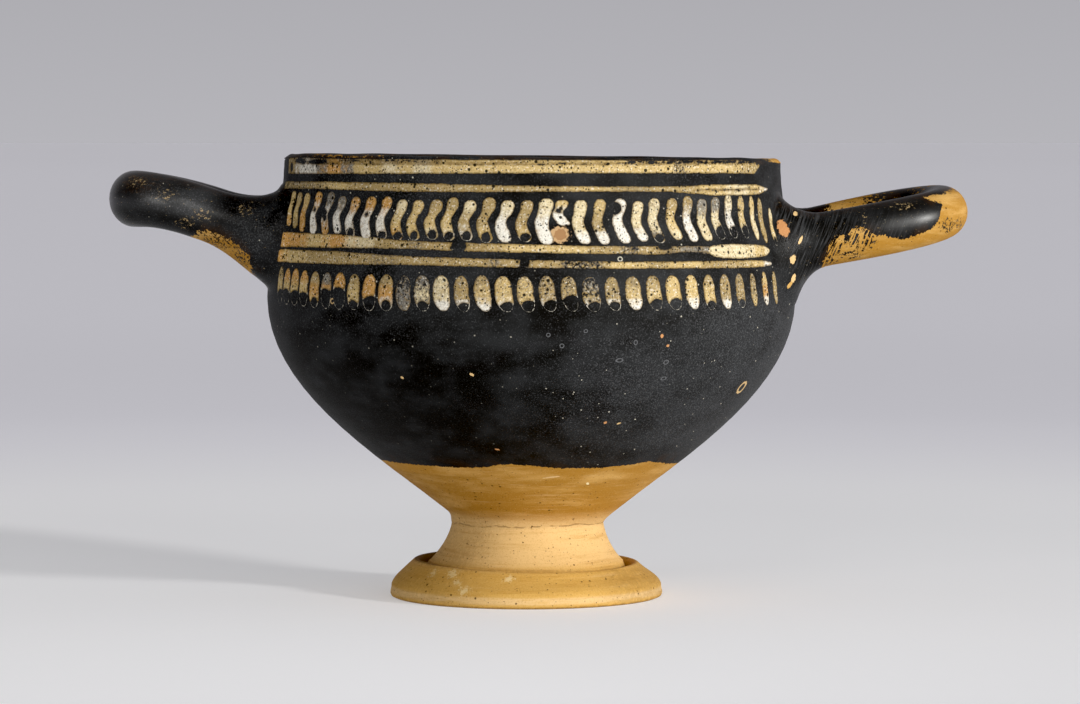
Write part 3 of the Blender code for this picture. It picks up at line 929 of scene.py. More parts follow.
def cup_finish():
    """Black slip as far as it reaches, bare clay beyond it, flakes and rings over both."""
    finish = Finish("black_gloss_on_ochre_clay")
    edge_noise = finish.mottle(0.75, detail=4, rough=0.65, shift=5) - 0.5
    ragged = edge_noise * finish.field("rag") * 4.5
    hatch = (finish.slanted(0.5) - 0.5) * finish.field("brush") * 3.0
    slip_edge = finish.field("black") + ragged + hatch
    black_part = slip_edge.between(-0.05, 0.05)
    slip, slip_rough, slip_relief = black_slip(finish, finish.field("brush"))
    thin = slip_edge.between(2.6, 0.1) * finish.mottle(5, detail=3, shift=21).between(0.46, 0.62)
    slip = slip.tinted(thin * 0.4, BLACK_BROWN)
    worn = finish.field("rub") * finish.mottle(0.6, detail=4, shift=2).between(0.42, 0.62)
    slip = slip.tinted(worn * 0.8, BLACK_BROWN)
    near = finish.field("scratched").between(-0.3, 0.5)
    fleck = finish.mottle(0.42, (0.6, 0.6, 1), 4, 0.75, shift=40)
    chafed = finish.field("coil") * (fleck + near * 0.10).between(0.655, 0.70)
    slip = slip.tinted(chafed * 0.85, CLAY_WORN)
    clay, clay_rough, clay_relief = bare_clay(finish)
    smudged = edge_noise * 2.5
    lines = (finish.field("brushed") + smudged).between(0.0, 0.15)
    lines = lines * finish.slanted(0.42, -0.45, 0.12).between(0.475, 0.515)
    lines = lines * edge_noise.between(-0.07, -0.02)
    spots = (finish.field("spotted") + smudged).between(0.0, 0.3)
    spots = spots * finish.mottle(0.5, detail=3, rough=0.7, shift=77).between(0.50, 0.56)
    black_part = black_part.most(lines.most(spots))
    colour = clay.tinted(black_part, slip)
    rough = finish.blend(black_part, clay_rough, slip_rough)
    relief = finish.blend(black_part, clay_relief, slip_relief + 0.03)
    wander = (finish.mottle(0.5, detail=3, shift=13) - 0.5) * 1.1
    for place, size, tilt, shown in FLAKES:
        bare = (finish.oval(place, size, tilt) + wander).between(1.08, 0.92)
        colour = colour.tinted(bare, shown)
        if size[0] > 1:
            relief = relief + bare * -0.09
    for place, size, tilt, shown in RINGS:
        reach = finish.oval(place, size, tilt) + wander * 0.35
        ring = reach.between(1.15, 0.95) * reach.between(0.55, 0.78)
        colour = colour.tinted(ring * 0.8, shown)
    polish = black_part * finish.field("polish")
    return finish.complete(colour, rough, relief, GLOSS, polish)


vessel.data.materials.append(cup_finish())
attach(vessel, "root")
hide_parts("cup_skyphos")

# ==== Painted bands ====
# A broad band under the lip, one line below it and a pair of lines round the shoulder,
# each brushed on in thick pale slip over the black before firing. Edges wander with the
# brush, and where the slip has worn or sprung off the black shows.

OUT_OF_REACH = 75.0                 # rays start this far from the axis and look inward
TURNING = math.radians(55)          # nearer the handles they look straight along y instead
SUNK = 0.15                         # the underside of the paint is keyed this far into the wall
SKIRT = 0.12                        # round every mark a margin this wide
DIP = 0.06                          # dips so far below the wall's face
EDGE_STEP = 0.012                   # the mark's outline stands this far out of the wall
PROUD = 0.105                       # and its face this far,
EDGE_ROUND = 0.34                   # reached over this width
BAND_PACE = 0.42                    # length of one step along a band
BAND_STEPS = 13

INKS = {
    "t": paint(166, 144, 98), "o": paint(198, 150, 84), "y": paint(202, 176, 120),
    "c": paint(218, 202, 162), "w": paint(232, 228, 216), "g": paint(128, 124, 114),
}


def ink(letters, places, stops):
    """The colours named by the letters at the stops, blended at these places."""
    parts = np.array([INKS[letter] for letter in letters])
    share = np.interp(places, stops, np.arange(len(stops)))
    share = np.floor(share) + rise(share % 1, 0.2, 0.8)
    return np.stack([np.interp(share, np.arange(len(stops)), parts[:, c]) for c in range(4)], axis=-1)


def on_the_wall(angle, height):
    """Places on the finished cup in these directions and heights, and the ways out of it."""
    hits, ways = [], []
    for a, z in zip(np.radians(angle), height):
        out = Vector((math.sin(a), -math.cos(a), 0))
        start = Vector((BOWL_X, 0, z)) + out * OUT_OF_REACH
        if abs(math.sin(a)) > math.sin(TURNING):
            out = Vector((0, math.copysign(1, -math.cos(a)), 0))
            radius = float(wall_radius(z + RIM_DROP * math.sin(a) * rise(z, BELLY_Z, HEIGHT)))
            start = Vector((BOWL_X + (radius - SLIP_DEPTH) * math.sin(a), 0, z)) + out * OUT_OF_REACH
        hit, way, _, _ = cup_skin.ray_cast(start * MM, -out)
        hits.append(hit / MM)
        ways.append(way)
    return np.array(hits), np.array(ways)


class Marks:
    """Painted marks gathered into one piece, each a closed sheet keyed into the wall."""

    def __init__(self):
        self.points = []
        self.faces = []
        self.fields = {name: [] for name in ("cover", "worn", "ghost", "dust_and_sheen")}
        self.inks = []

    def lay(self, angle, height, rim, cover, ghost, worn, colour):
        """Every value is given on a grid, rows upward and columns to the right.

        rim is the distance inside the mark's outline, cover inside what is left of it;
        ghost is 1 where only the outline of a lost end stays.
        """
        rows, columns = angle.shape
        places, out = on_the_wall(angle.ravel(), height.ravel())
        lift = (DIP + EDGE_STEP) * rise(rim, -SKIRT, 0.0) - DIP
        lift = lift + (PROUD - EDGE_STEP) * rise(np.minimum(rim, cover), 0.0, EDGE_ROUND)
        lift = lift.ravel()[:, None]
        first = sum(len(part) for part in self.points)
        self.points += [places + out * lift, places - out * SUNK]
        below = rows * columns
        for i in range(rows - 1):
            for j in range(columns - 1):
                a = first + i * columns + j
                quad = (a, a + 1, a + columns + 1, a + columns)
                self.faces.append(quad)
                self.faces.append(tuple(q + below for q in quad[::-1]))
        across, along = range(columns), range(rows)
        loop = ([(0, j) for j in across] + [(i, columns - 1) for i in along[1:]]
                + [(rows - 1, j) for j in across[-2::-1]] + [(i, 0) for i in along[-2:0:-1]])
        border = [first + i * columns + j for i, j in loop]
        for a, b in zip(border, border[1:] + border[:1]):
            self.faces.append((b, a, a + below, b + below))
        given = {"cover": cover, "worn": worn, "ghost": ghost, "dust_and_sheen": wall_dust_and_sheen(angle, height)}
        for name, values in given.items():
            self.fields[name] += [values.ravel()] * 2
        self.inks += [colour.reshape(-1, 4)] * 2

    def piece(self, name, material):
        thing = made_object(name, np.concatenate(self.points), self.faces)
        for field, values in self.fields.items():
            set_field(thing, field, np.clip(np.concatenate(values), -3, 3))
        colours = thing.data.attributes.new("ink", "FLOAT_COLOR", "POINT")
        colours.data.foreach_set("color", np.concatenate(self.inks).ravel())
        thing.data.shade_smooth()
        thing.data.materials.append(material)
        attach(thing, "root")


def wander(random, places, *waves):
    """A seeded value that wanders along these places in waves of this reach and size."""
    total = np.zeros_like(places, dtype=float)
    for reach, size in waves:
        for step in (1.0, 0.53, 0.29):
            phase = random.uniform(0, 2 * math.pi)
            ripple = np.sin(2 * math.pi * places / (reach * step) + phase)
            total = total + size * step * ripple / 1.8
    return total


def band(marks, random, course, letters, stops, lost=(), worn=(), splits=()):
    """One brushed line. course: angle, top, bottom; the first and last are its ends.

    lost: angle, height, half width in degrees, half height of sprung-off places.
    worn: from, to, how much. splits: from, to, height, half width of a gap in the slip.
    """
    angles, tops, bottoms = np.array(course, float).T
    length = math.radians(angles[-1] - angles[0]) * BELLY_RADIUS
    steps = int(length / BAND_PACE)
    margin = math.degrees(SKIRT / BELLY_RADIUS)
    angle = np.linspace(angles[0] - margin, angles[-1] + margin, steps)
    arc = np.radians(angle) * LIP_RADIUS
    top = np.interp(angle, angles, tops) + wander(random, arc, (9.0, 0.05), (1.7, 0.025))
    bottom = np.interp(angle, angles, bottoms) + wander(random, arc, (8.0, 0.05), (1.5, 0.025))
    across = np.linspace(0, 1, BAND_STEPS)[:, None]
    across = 0.5 - 0.5 * np.cos(math.pi * across)
    height = (bottom - SKIRT) + across * (top - bottom + 2 * SKIRT)
    grid = angle + 0 * height
    end = np.minimum(grid - angles[0], angles[-1] - grid) * math.radians(LIP_RADIUS)
    rim = np.minimum(np.minimum(height - bottom, top - height), end)
    cover = rim - 0.05
    for a, z, wide, tall in lost:
        away = np.hypot((grid - a) / wide, (height - z) / tall) - 1
        cover = np.minimum(cover, away * min(wide * math.radians(LIP_RADIUS), tall))
    for start, stop, z, half in splits:
        line = z + wander(random, arc, (11.0, 0.10), (2.3, 0.05))
        inside = rise(grid, start - 1.5, start + 1.5) * rise(grid, stop + 1.5, stop - 1.5)
        wide = half * np.maximum(0.65 + wander(random, arc, (4.1, 0.8), (1.3, 0.4)), 0)
        cover = np.minimum(cover, np.abs(height - line) - wide * inside + 0.3 * (1 - inside))
    tired = np.zeros_like(grid)
    for start, stop, much in worn:
        here = rise(grid, start - 1, start + 1) * rise(grid, stop + 1, stop - 1)
        tired = np.maximum(tired, much * here)
    patch = wander(random, grid, (4.3, 2.2)) + wander(random, grid + 3 * height, (2.6, 1.2))
    patch = patch + wander(random, 4 * height - grid, (1.9, 0.8))
    marks.lay(grid, height, rim, cover, 0 * grid, tired, ink(letters, grid + patch, stops))


SLIP_BROWN = paint(112, 90, 50)
SLIP_TAN = paint(164, 136, 84)
SLIP_WHITE = paint(244, 240, 228)
GHOST = paint(206, 202, 188)
WORN_GREY = paint(84, 84, 84)


def pale_slip():
    """Thick pale slip: mottled, browned at its edges, pitted, cracked, and worn to the black."""
    finish = Finish("pale_slip")
    slip, slip_rough, slip_relief = black_slip(finish)
    tired = finish.field("worn")
    ragged = finish.mottle(0.55, detail=4, rough=0.7, shift=11) - 0.5
    scoured = finish.mottle(0.7, detail=4, rough=0.75, shift=15) - (0.80 - tired * 0.30)
    left = (finish.field("cover") + ragged * 0.5).least(scoured * -6.0)
    painted = left.between(-0.03, 0.05)
    cloud = finish.mottle(1.1, detail=4, rough=0.65, shift=23)
    fleck = finish.mottle(0.4, detail=3, rough=0.7, shift=27)
    grain = finish.mottle(0.17, detail=2, shift=2)
    colour = finish.field("ink", "Color")
    colour = colour.tinted(cloud.between(0.50, 0.68) * 0.5, SLIP_TAN)
    colour = colour.tinted(fleck.between(0.54, 0.68) * 0.7, SLIP_WHITE)
    colour = colour.tinted(fleck.between(0.45, 0.33) * 0.55, SLIP_BROWN)
    colour = colour.tinted(left.between(0.42, 0.03) * 0.75, SLIP_BROWN)
    colour = colour.tinted(grain.between(0.52, 0.72) * 0.5, SLIP_BROWN)
    greyed = finish.mottle(0.45, detail=3, shift=33).between(0.42, 0.6) * tired * 0.85
    colour = colour.tinted(greyed, WORN_GREY)
    colour = colour.tinted(finish.field("ghost") * 0.8, GHOST)
    pitted = finish.dots(1.15, 0.34, 0.05, shift=51).most(finish.dots(0.50, 0.17, 0.03, shift=57))
    colour = colour.tinted(pitted * 0.93, BLACK)
    colour = slip.tinted(painted, colour)
    rough = finish.blend(painted, slip_rough, grain * 0.2 + 0.62)
    lumps = cloud * 0.09 + grain * 0.05 + pitted * -0.08 + 0.05
    relief = finish.blend(painted, slip_relief, lumps)
    return finish.complete(colour, rough, relief, GLOSS)


PALE_SLIP = pale_slip()

brush = np.random.default_rng(11)
rim_band = Marks()
band(rim_band, brush,
     ((-75, 87.75, 84.50), (-68, 87.80, 84.55), (-46, 87.60, 84.67), (-30, 87.55, 84.74),
      (0, 87.50, 84.88), (24.5, 87.45, 84.85), (54, 87.35, 84.70), (61, 87.00, 84.50),
      (64.1, 86.40, 86.00)),
     "ttwwgoogyycycyyyyyt",
     (-75, -70, -65, -60, -56, -52, -48, -45, -42, -37, -33, -29, -25, -20, -8, 5, 20, 45, 64),
     lost=((62.6, 86.6, 0.5, 0.25), (-72, 85.9, 1.2, 0.9), (-66, 87.2, 3.0, 0.5),
           (-57, 87.0, 4.0, 0.45)),
     worn=((-80, -52, 0.4), (-46, -43, 0.4), (-26, -23, 0.3), (33, 37, 0.8)),
     splits=((-70, 66, 86.72, 0.10), (20, 61, 86.98, 0.22), (-66, -20, 87.15, 0.09)))
band(rim_band, brush,
     ((112, 87.2, 84.6), (125, 87.3, 84.7), (180, 87.3, 84.7), (240, 87.3, 84.6), (252, 87.1, 84.8)),
     "tycyyt", (112, 135, 160, 200, 230, 252),
     lost=((150, 86.5, 3.0, 0.7), (221, 85.4, 2.0, 0.6)), worn=((112, 140, 0.5), (190, 252, 0.6)),
     splits=((120, 240, 86.7, 0.08),))
rim_band.piece("rim_band", PALE_SLIP)

shoulder_line = Marks()
band(shoulder_line, brush,
     ((-77, 83.10, 81.60), (-56, 83.26, 81.72), (-30, 83.12, 81.38), (-14.6, 82.89, 81.33),
      (0.8, 82.61, 81.41), (15, 82.51, 81.42), (32, 82.45, 81.31), (38, 82.55, 80.95),
      (45, 82.76, 80.47), (61.5, 82.64, 80.51), (66.5, 82.05, 81.10), (68.4, 81.85, 81.40)),
     "ttyttttttytttycyw", (-77, -60, -50, -40, -30, -20, -10, 0, 5, 12, 22, 30, 36, 44, 54, 62, 68),
     worn=((-77, -52, 0.55), (17, 27, 0.35)), splits=((39, 63, 81.65, 0.10),))
band(shoulder_line, brush,
     ((113, 82.4, 81.3), (140, 82.7, 81.2), (180, 82.8, 81.3), (220, 82.7, 81.3), (250, 82.3, 81.5)),
     "ttytt", (113, 150, 180, 220, 250), lost=((168, 82.0, 2.0, 1.0),),
     worn=((113, 130, 0.6), (205, 250, 0.5)))
shoulder_line.piece("shoulder_line", PALE_SLIP)

paired_lines = Marks()
band(paired_lines, brush,
     ((-71.5, 73.33, 70.25), (-45.5, 73.19, 70.53), (-35, 72.70, 70.60),
      (-26.5, 72.19, 70.59), (-17.3, 71.98, 70.29), (0.7, 71.66, 69.98), (12.3, 71.35, 69.76),
      (28, 71.15, 69.50), (34, 71.10, 69.45), (41.5, 71.0, 69.50)),
     "ooyocttttyyyttg", (-74, -62, -54, -46, -40, -32, -24, -18, -10, -4, 2, 8, 16, 26, 40),
     lost=((-15.4, 71.2, 1.7, 1.1), (35, 69.6, 5, 0.3), (29.5, 70.9, 1.6, 0.5)),
     worn=((-27, -23, 0.6), (19, 24, 0.9), (28, 41, 0.55)))
band(paired_lines, brush,
     ((40.6, 70.6, 69.8), (42.2, 71.15, 69.0), (45, 71.30, 68.55), (50, 71.30, 68.35),
      (58, 71.05, 68.45), (61.5, 70.70, 68.70), (63.8, 70.15, 69.40)),
     "ccccyc", (38, 44, 50, 54, 59, 63))
band(paired_lines, brush,
     ((-72.2, 69.80, 67.50), (-70.8, 70.00, 67.30), (-45, 69.96, 67.40), (-26, 69.28, 67.58),
      (-10.7, 69.02, 67.34), (-0.3, 68.77, 67.18), (14.3, 68.40, 66.95), (32.5, 68.25, 66.80),
      (53.4, 68.15, 66.55), (61, 67.85, 66.65), (63.8, 67.5, 66.9)),
     "oytttttttttttytyttyw",
     (-75, -62, -52, -44, -38, -32, -24, -18, -12, -6, 0, 8, 14, 20, 28, 34, 42, 50, 58, 63),
     lost=((-1.3, 68.2, 1.0, 0.9),),
     worn=((-36, -29, 0.55), (-9, -6.5, 0.85), (-3, 0, 0.9), (6, 15, 0.9)))
BACK_PAIR = (((113, 71.9, 70.3), (135, 72.2, 70.4), (180, 72.0, 70.2), (225, 72.2, 70.4),
              (250, 71.8, 70.6)),
             ((112, 68.6, 67.1), (135, 69.0, 67.3), (180, 68.8, 67.2), (225, 69.0, 67.3),
              (251, 68.5, 67.2)))
for course in BACK_PAIR:
    band(paired_lines, brush, course, "tytytt", (112, 135, 160, 190, 220, 250),
         lost=((146, course[1][1] - 1.0, 1.5, 1.0),), worn=((120, 132, 0.6), (196, 215, 0.8)))
paired_lines.piece("paired_lines", PALE_SLIP)

# ==== Rows of brush strokes ====
# Two rows of short upright strokes between the bands, each one touch of a loaded brush
# in the same pale slip. Air under the thick end of many has burst and left a round hole
# with a thin rim; in others the end has sprung off and only its outline stays.

ROW_STEPS = 30
STROKE_STEPS = 12

# How far the middle of a stroke lies to the right: share of its height, place
LEFT_BEND = ((0, 0.45), (0.15, 0.2), (0.3, -0.4), (0.45, -0.5), (0.6, 0.0), (0.72, 0.45), (0.87, 0.75),
             (1, 0.7))
RIGHT_BEND = ((0, 0.65), (0.12, 0.4), (0.25, -0.15), (0.4, -0.62), (0.55, -0.75), (0.72, -0.4),
              (0.88, -0.1), (1, -0.05))
BEAN_BEND = ((0, 0.62), (0.25, 0.15), (0.5, -0.15), (0.75, -0.3), (1, -0.35))
UPRIGHT_BEND = ((0, 0.1), (0.4, -0.1), (1, 0.1))


def bent(line, h):
    """Sideways place of a stroke's middle at these shares of its height."""
    return sum(along(line, h + step) for step in (-0.08, -0.04, 0, 0.04, 0.08)) / 5


# How strokes end: the share of the height where each bubble burst, its place aside in
# millimetres and in stroke widths, and its size in stroke widths. "w" and "g" are whole.
BURSTS = {"r": ((0.115, 0, 0, 0.34),), "R": ((0.16, 0.15, 0, 0.37),), "l": ((0.06, 0, 0, 0.75),),
          "h": ((0.04, 0, 0, 1.05),), "b": ((0.52, 0, -0.40, 0.40), (0.40, 0, 0, 0.22)),
          "k": ((0.78, 0, -0.42, 0.50),), "p": ((0.58, -0.15, 0, 0.17),)}
OPEN_END = 0.2                      # a thin rim stays round those lower than this:
RIM_AT = 0.075                      # how far inside the outline it runs
RIM_HALF = 0.055                    # and half its width


def stroke(marks, random, angle, low, high, width, blunt, middle, notch, letters, ending, wear):
    """One touch of the brush. blunt: share of the length that its rounded ends take.

    middle gives the sideways place of its middle line at a share of its height; wear is
    0 for fresh slip and 9 for slip worn nearly through.
    """
    length = high - low
    margin = SKIRT / length
    h = 0.5 - 0.5 * np.cos(np.linspace(0, math.pi, ROW_STEPS))
    h = (-margin + h * (1 + 2 * margin))[:, None]
    end = np.clip((np.abs(2 * h - 1) - (1 - blunt)) / blunt, 0, 1)
    round_end = np.sqrt(1 - end**2)
    waver = [wander(random, h * length, (3.1, 0.06)) * round_end for side in range(2)]
    left = width / 2 * round_end * (1 - 0.45 * notch * bump(h, 0.66, 0.2)) + waver[0]
    right = width / 2 * round_end * (1 - notch * bump(h, 0.52, 0.26)) + waver[1]
    centre = middle(h)
    j = np.sin(np.linspace(-1, 1, STROKE_STEPS) * math.pi / 2)[None, :]
    half = np.where(j < 0, left, right) + SKIRT
    aside = centre + j * half
    rim = np.minimum((1 - np.abs(j)) * half - SKIRT, np.minimum(h, 1 - h) * length)
    cover = rim - 0.05
    ghost = np.zeros_like(cover)
    outline = RIM_HALF - np.abs(rim - RIM_AT)

    for at_h, aside_by, aside_share, size in BURSTS.get(ending, ()):
        at = float(np.interp(at_h, h[:, 0], centre[:, 0])) + (aside_by + width * aside_share)
        away = np.hypot(aside - at, (h - at_h) * length)
        turn = np.arctan2(aside - at, (h - at_h) * length)
        away = away - width * size * (1 + 0.10 * np.sin(2 * turn + random.uniform(0, 6)))
        cover = np.minimum(cover, away)
        if at_h < OPEN_END:
            ring = (away < 0.2) & (outline > cover)
            cover = np.where(ring, outline, cover)
            ghost = np.maximum(ghost, (away < 0.2) & (rim < 0.22))
    worn = np.clip(wear / 9 * (0.55 + 0.6 * h) + 0 * j, 0, 1)
    patch = wander(random, h * length, (2.1, 0.09)) + wander(random, aside, (1.3, 0.07))
    patch = patch + wander(random, h * length + 1.7 * aside, (0.9, 0.05))
    colour = ink(letters, (h + patch).ravel(), (0.12, 0.45, 0.85)).reshape(h.size, j.size, 4)
    radius = wall_radius(np.clip(low + h * length, SLOPE_Z, HEIGHT - 1))
    place = angle + np.degrees(aside / radius)
    height = low + h * length + 0 * j
    marks.lay(place, height, rim, cover, ghost, worn, colour)


UPPER_PLACES = (-68.9, -65.0, -61.0, -56.0, -51.4, -47.2, -42.9, -38.3, -34.0, -30.0, -26.0, -21.7,
                -17.9, -14.0, -9.8, -5.8, -1.5, 2.9, 6.6, 10.9, 15.2, 19.8, 24.0, 28.0, 32.5, 36.8,
                40.9, 45.1, 49.5, 54.1, 58.6, 62.5, 67.9)
UPPER_ENDS = "wwwpbwrprrrrrrrwrwpwwkwrwwwlllwwr"
UPPER_INKS = ("yyo tyt yoo oww gwo gww oww oww oww cyo yyy tyc tyc ctw tty cww tty cww yww ccw "
              "ytw www ccw ccg tyc tww gcc gcc cww yyc ycc ttt cyc").split()
UPPER_WEAR = "111154311111111211113114132354112"
UPPER_TOPS = (81.3, 81.1, 81.0, 81.3, 81.3, 80.5, 80.4, 80.5, 80.55, 80.0, 79.9, 80.0, 80.45, 79.95,
              80.45, 79.95, 79.95, 80.3, 79.97, 79.95, 80.15, 80.2, 79.7, 80.25, 80.2, 80.6, 80.0,
              80.35, 80.8, 80.5, 80.45, 80.05, 78.0)
UPPER_BOTTOMS = (74.4, 74.0, 73.35, 72.95, 72.9, 73.2, 72.5, 72.3, 72.15, 72.1, 72.2, 72.4, 72.2, 72.2,
                 71.85, 71.85, 72.0, 71.45, 75.0, 71.55, 71.45, 71.6, 71.95, 71.65, 72.2, 71.7,
                 71.85, 72.15, 72.3, 72.2, 71.75, 71.1, 70.6)
LOWER_ENDS = "llllrhhrlrgrwrwrRRlrrwRRwrwrwww"
LOWER_WEAR = "3111141113974443566844311245623"
LOWER_INKS = ("tyg oyy oyt oyt toy goo oot tyt oot tow ggg gcg ccw ttw tyw yyw yyy ttw ttt gtw "
              "ttw tyw tyc yyc yyw tyy ttw ttt tty yow ttt").split()
LOWER_TOPS = ((-70, 66.5), (-41, 65.8), (0, 65.7), (14, 65.6), (29, 65.6), (43, 65.5), (62, 65.8))
LOWER_BOTTOMS = ((-70, 59.2), (-41, 58.8), (0, 58.95), (29, 59.1), (43, 58.8), (62, 59.2))


touch = np.random.default_rng(23)
upper_strokes = Marks()
for place, low, high, ending, inks, wear in zip(UPPER_PLACES, UPPER_BOTTOMS, UPPER_TOPS,
                                                UPPER_ENDS, UPPER_INKS, UPPER_WEAR):
    rightward = float(rise(place, -6, 14))
    bold = abs(place - 2.9) < 1
    thin = float(rise(place, 42, 60))
    stroke(upper_strokes, touch, place, low, high,
           width=2.9 if bold else touch.uniform(2.45, 2.8) - 0.4 * thin, blunt=0.28 + 0.3 * thin,
           middle=lambda h: (bent(LEFT_BEND, h) * (1 - rightward) + bent(RIGHT_BEND, h) * rightward
                             * (1 - 0.4 * thin)) * (1 - 0.35 * float(rise(place, -50, -66))),
           notch=0.1 if bold else touch.uniform(0.15, 0.4), letters=inks[::-1], ending=ending,
           wear=int(wear))
for number in range(32):
    stroke(upper_strokes, touch, 116 + 4.15 * number, 72.0 + touch.uniform(-0.2, 0.2),
           80.2 + touch.uniform(-0.3, 0.3), width=touch.uniform(2.0, 2.4), blunt=0.3,
           middle=lambda h: bent(LEFT_BEND, h), notch=touch.uniform(0.15, 0.35),
           letters=touch.choice(["ttt", "tyy", "wcy", "ooy", "wwc"]),
           ending=touch.choice(list("wwrrlp")), wear=touch.choice([1, 2, 2, 3, 5, 7]))
upper_strokes.piece("upper_strokes", PALE_SLIP)

lower_strokes = Marks()
for number, (ending, inks, wear) in enumerate(zip(LOWER_ENDS, LOWER_INKS, LOWER_WEAR)):
    place = -68.7 + 4.0 * number + 0.0145 * number**2
    rightward = float(rise(place, -40, -5))
    stroke(lower_strokes, touch, place,
           along(LOWER_BOTTOMS, place) + touch.uniform(-0.1, 0.1),
           along(LOWER_TOPS, place) + touch.uniform(-0.15, 0.15),
           width=touch.uniform(3.1, 3.6) - 1.2 * float(rise(place, 36, 60)), blunt=0.8,
           middle=lambda h: bent(BEAN_BEND, h) * rightward + bent(UPRIGHT_BEND, h) * (1 - rightward),
           notch=0.06, letters=inks[::-1], ending=ending, wear=int(wear))
for number in range(31):
    stroke(lower_strokes, touch, 117 + 4.25 * number, 58.9 + touch.uniform(-0.15, 0.15),
           65.5 + touch.uniform(-0.2, 0.2), width=touch.uniform(3.0, 3.5), blunt=0.8,
           middle=lambda h: bent(BEAN_BEND, h), notch=0.06,
           letters=touch.choice(["tyt", "wyt", "wwy", "toy", "ggt"]),
           ending=touch.choice(list("wwrRlh")), wear=touch.choice([1, 2, 3, 4, 6, 8]))
lower_strokes.piece("lower_strokes", PALE_SLIP)

# ==== Table and light ====
# A plain sheet of pale plastic with painted light on it: a painted glow and a painted pool of light,
# brightest in front of the cup and fading with distance; a strong low lamp at the right in front,
# three weaker ones round the front, and a pale surround.

EYE = (BOWL_X + 1.7, -840.0, 91.0)
LOOK_DOWN = 2.876
LENS = 140

camera = put_down("camera", bpy.data.cameras.new("camera"), EYE, (90 - LOOK_DOWN, 0, 0))
camera.data.lens = LENS
camera.data.clip_end = 500
bpy.context.scene.camera = camera

FAR = 2e5                           # the sheet reaches this far on every side
table = made_object("table", [(-FAR, -FAR, 0), (FAR, -FAR, 0), (FAR, FAR, 0), (-FAR, FAR, 0)],
                    [(0, 1, 2, 3)])
SHEET_TONE = (0.992, 0.990, 1.012)  # its tint near the cup
FAR_TONE = (0.990, 0.972, 1.10)     # and far off, where it is bluer
FAR_SHARE = (0.86, 0.66)            # it turns from one to the other between these shares
HAZE = (4, 22, -0.026)              # from and to in metres: the last slow fall of its brightness
SHEET_WHITE = 0.684                 # how much light the sheet sends back
SHEET_GLOW = 0.381                  # and how bright its painted glow is
BRIGHTEST = (0, -150, 0)            # its painted light is brightest a little in front of the cup
# How its painted light, in colour and glow, falls off with distance from there: metres, share
SHEET_FALL = ((0.0, 1.0), (0.11, 0.936), (0.175, 0.890), (0.25, 0.860), (0.40, 0.816), (0.49, 0.769),
              (0.64, 0.702), (0.78, 0.662), (1.6, 0.653), (5.6, 0.633))
sheet = Finish("table_top")
metres = sheet.oval(BRIGHTEST, (1 / MM,) * 3)
fall = sheet.step("FloatCurve", 0, {"Value": (metres * (1 / SHEET_FALL[-1][0])).least(1.0)})
curves = fall.socket.node.mapping
points = curves.curves[0].points
points[0].location = (0, SHEET_FALL[0][1])
points[1].location = (1, SHEET_FALL[-1][1])
for far, share in SHEET_FALL[1:-1]:
    points.new(far / SHEET_FALL[-1][0], share)
curves.update()
grain = sheet.mottle(0.6, detail=2)
shade = fall * (grain * 0.01 + 0.995) * (metres.between(*HAZE[:2]) * HAZE[2] + 1)
far_off = fall.between(*FAR_SHARE)
tones = [shade * SHEET_WHITE * sheet.blend(far_off, tone, far_tone)
         for tone, far_tone in zip(SHEET_TONE, FAR_TONE)]
white = sheet.step("CombineColor", 0, dict(enumerate(tones)))
# Painted glow: the sheet shines by itself, brightest in front of the cup, standing in for light and
# thinning the shadows
sheet.feed(sheet.shader.inputs["Emission Strength"], shade * SHEET_GLOW)
sheet.shader.inputs["Emission Color"].default_value = (0.992, 0.992, 1.008, 1)
table.data.materials.append(sheet.complete(white, 0.8, grain * 0.01, 0.05))
table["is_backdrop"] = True

BLACK_LEVEL = 0.010                 # anything darker than this is seen as black
view = bpy.context.scene.view_settings
view.view_transform = "Standard"
view.use_curve_mapping = True
view.curve_mapping.black_level = (BLACK_LEVEL,) * 3
view.curve_mapping.update()

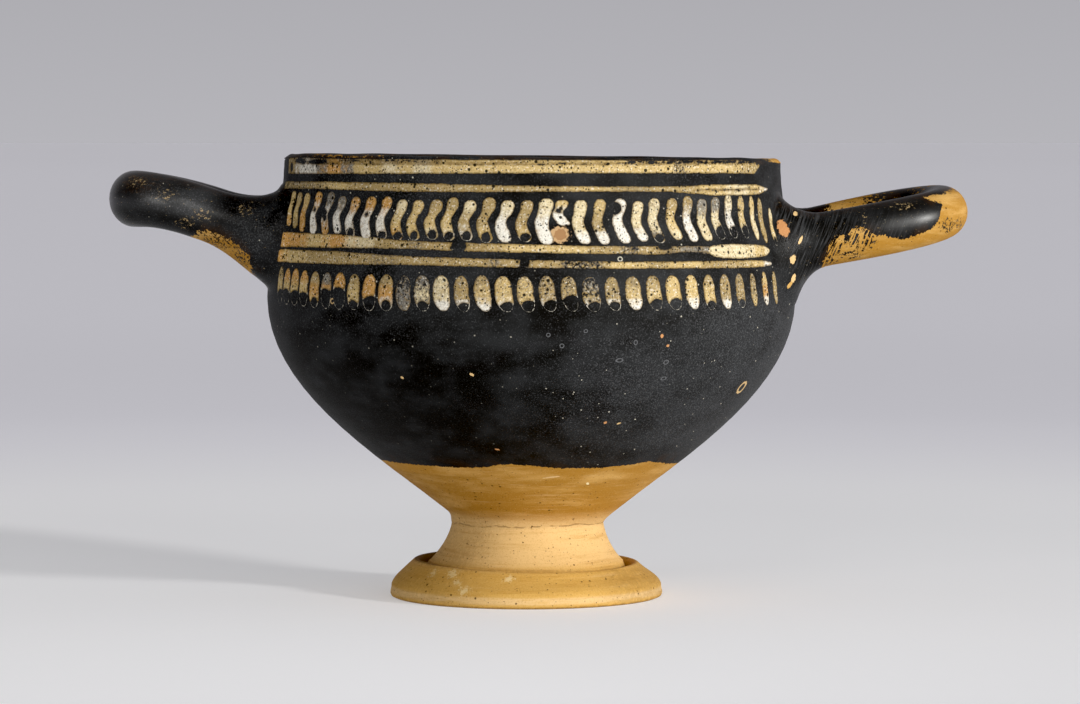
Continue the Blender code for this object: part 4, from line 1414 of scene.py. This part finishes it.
OVERHEAD = 0.22                     # light from above
BEHIND = 0.478                      # from behind the table
HIGHER_BEHIND = 0.918               # share left a little above the horizon
AT_RIGHT = 0.70                     # and from the right

world = bpy.data.worlds.new("surround")
surround = Steps(world, "Generated")


def slope(axis, low, high, first, last, smooth="SMOOTHSTEP"):
    """Goes from first to last between two heights, or places along another axis."""
    feeds = {"Value": surround.part(axis), "From Min": low, "From Max": high,
             "To Min": first, "To Max": last}
    return surround.step("MapRange", "Result", feeds, interpolation_type=smooth)


backdrop = slope(1, 0.2, 0.9, 0, BEHIND) * slope(2, 0.1, 0.8, 1, 0)
backdrop = backdrop * slope(2, 0, 0.033, 1, HIGHER_BEHIND, "LINEAR")
right_side = slope(0, 0.2, 1.0, 0, AT_RIGHT) * slope(2, 0.3, 0.9, 1, 0)
light = backdrop + right_side + slope(2, 0.05, 1.0, 0, OVERHEAD)
background = world.node_tree.nodes["Background"]
surround.feed(background.inputs["Strength"], light)
background.inputs["Color"].default_value = (0.985, 0.975, 1.035, 1)
bpy.context.scene.world = world

# Each lamp: round from the front toward +X and up, in degrees; light it throws; its width seen
# from the cup, in degrees
LAMPS = (("key", 55, 13.2, 2.65, 6), ("side", 31, 16, 0.75, 32), ("front", -13, 22, 0.42, 14),
         ("left", -46, 8, 0.42, 7))
for name, round_from_front, up, strength, width in LAMPS:
    lamp = bpy.data.lights.new(name, "SUN")
    lamp.energy = strength
    lamp.angle = math.radians(width)
    lamp.color = (1.0, 0.985, 0.95)
    put_down(name, lamp, turn=(90 - up, 0, round_from_front))

# A narrow lamp straight above shines down through the mouth and lights only the inside
SNOOT_UP = 1000.0                   # from the lip to the lamp
SNOOT_REACH = 43.0                  # how far from the axis its light falls at the lip
SNOOT_WATTS = 60.0
SNOOT_RADIUS = 12.0
snoot = bpy.data.lights.new("snoot", "SPOT")
snoot.energy = SNOOT_WATTS
snoot.shadow_soft_size = SNOOT_RADIUS * MM
snoot.spot_size = 2 * math.atan(SNOOT_REACH / SNOOT_UP)
snoot.spot_blend = 0.3
put_down("snoot", snoot, (BOWL_X, 0, HEIGHT + SNOOT_UP))

low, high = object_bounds()
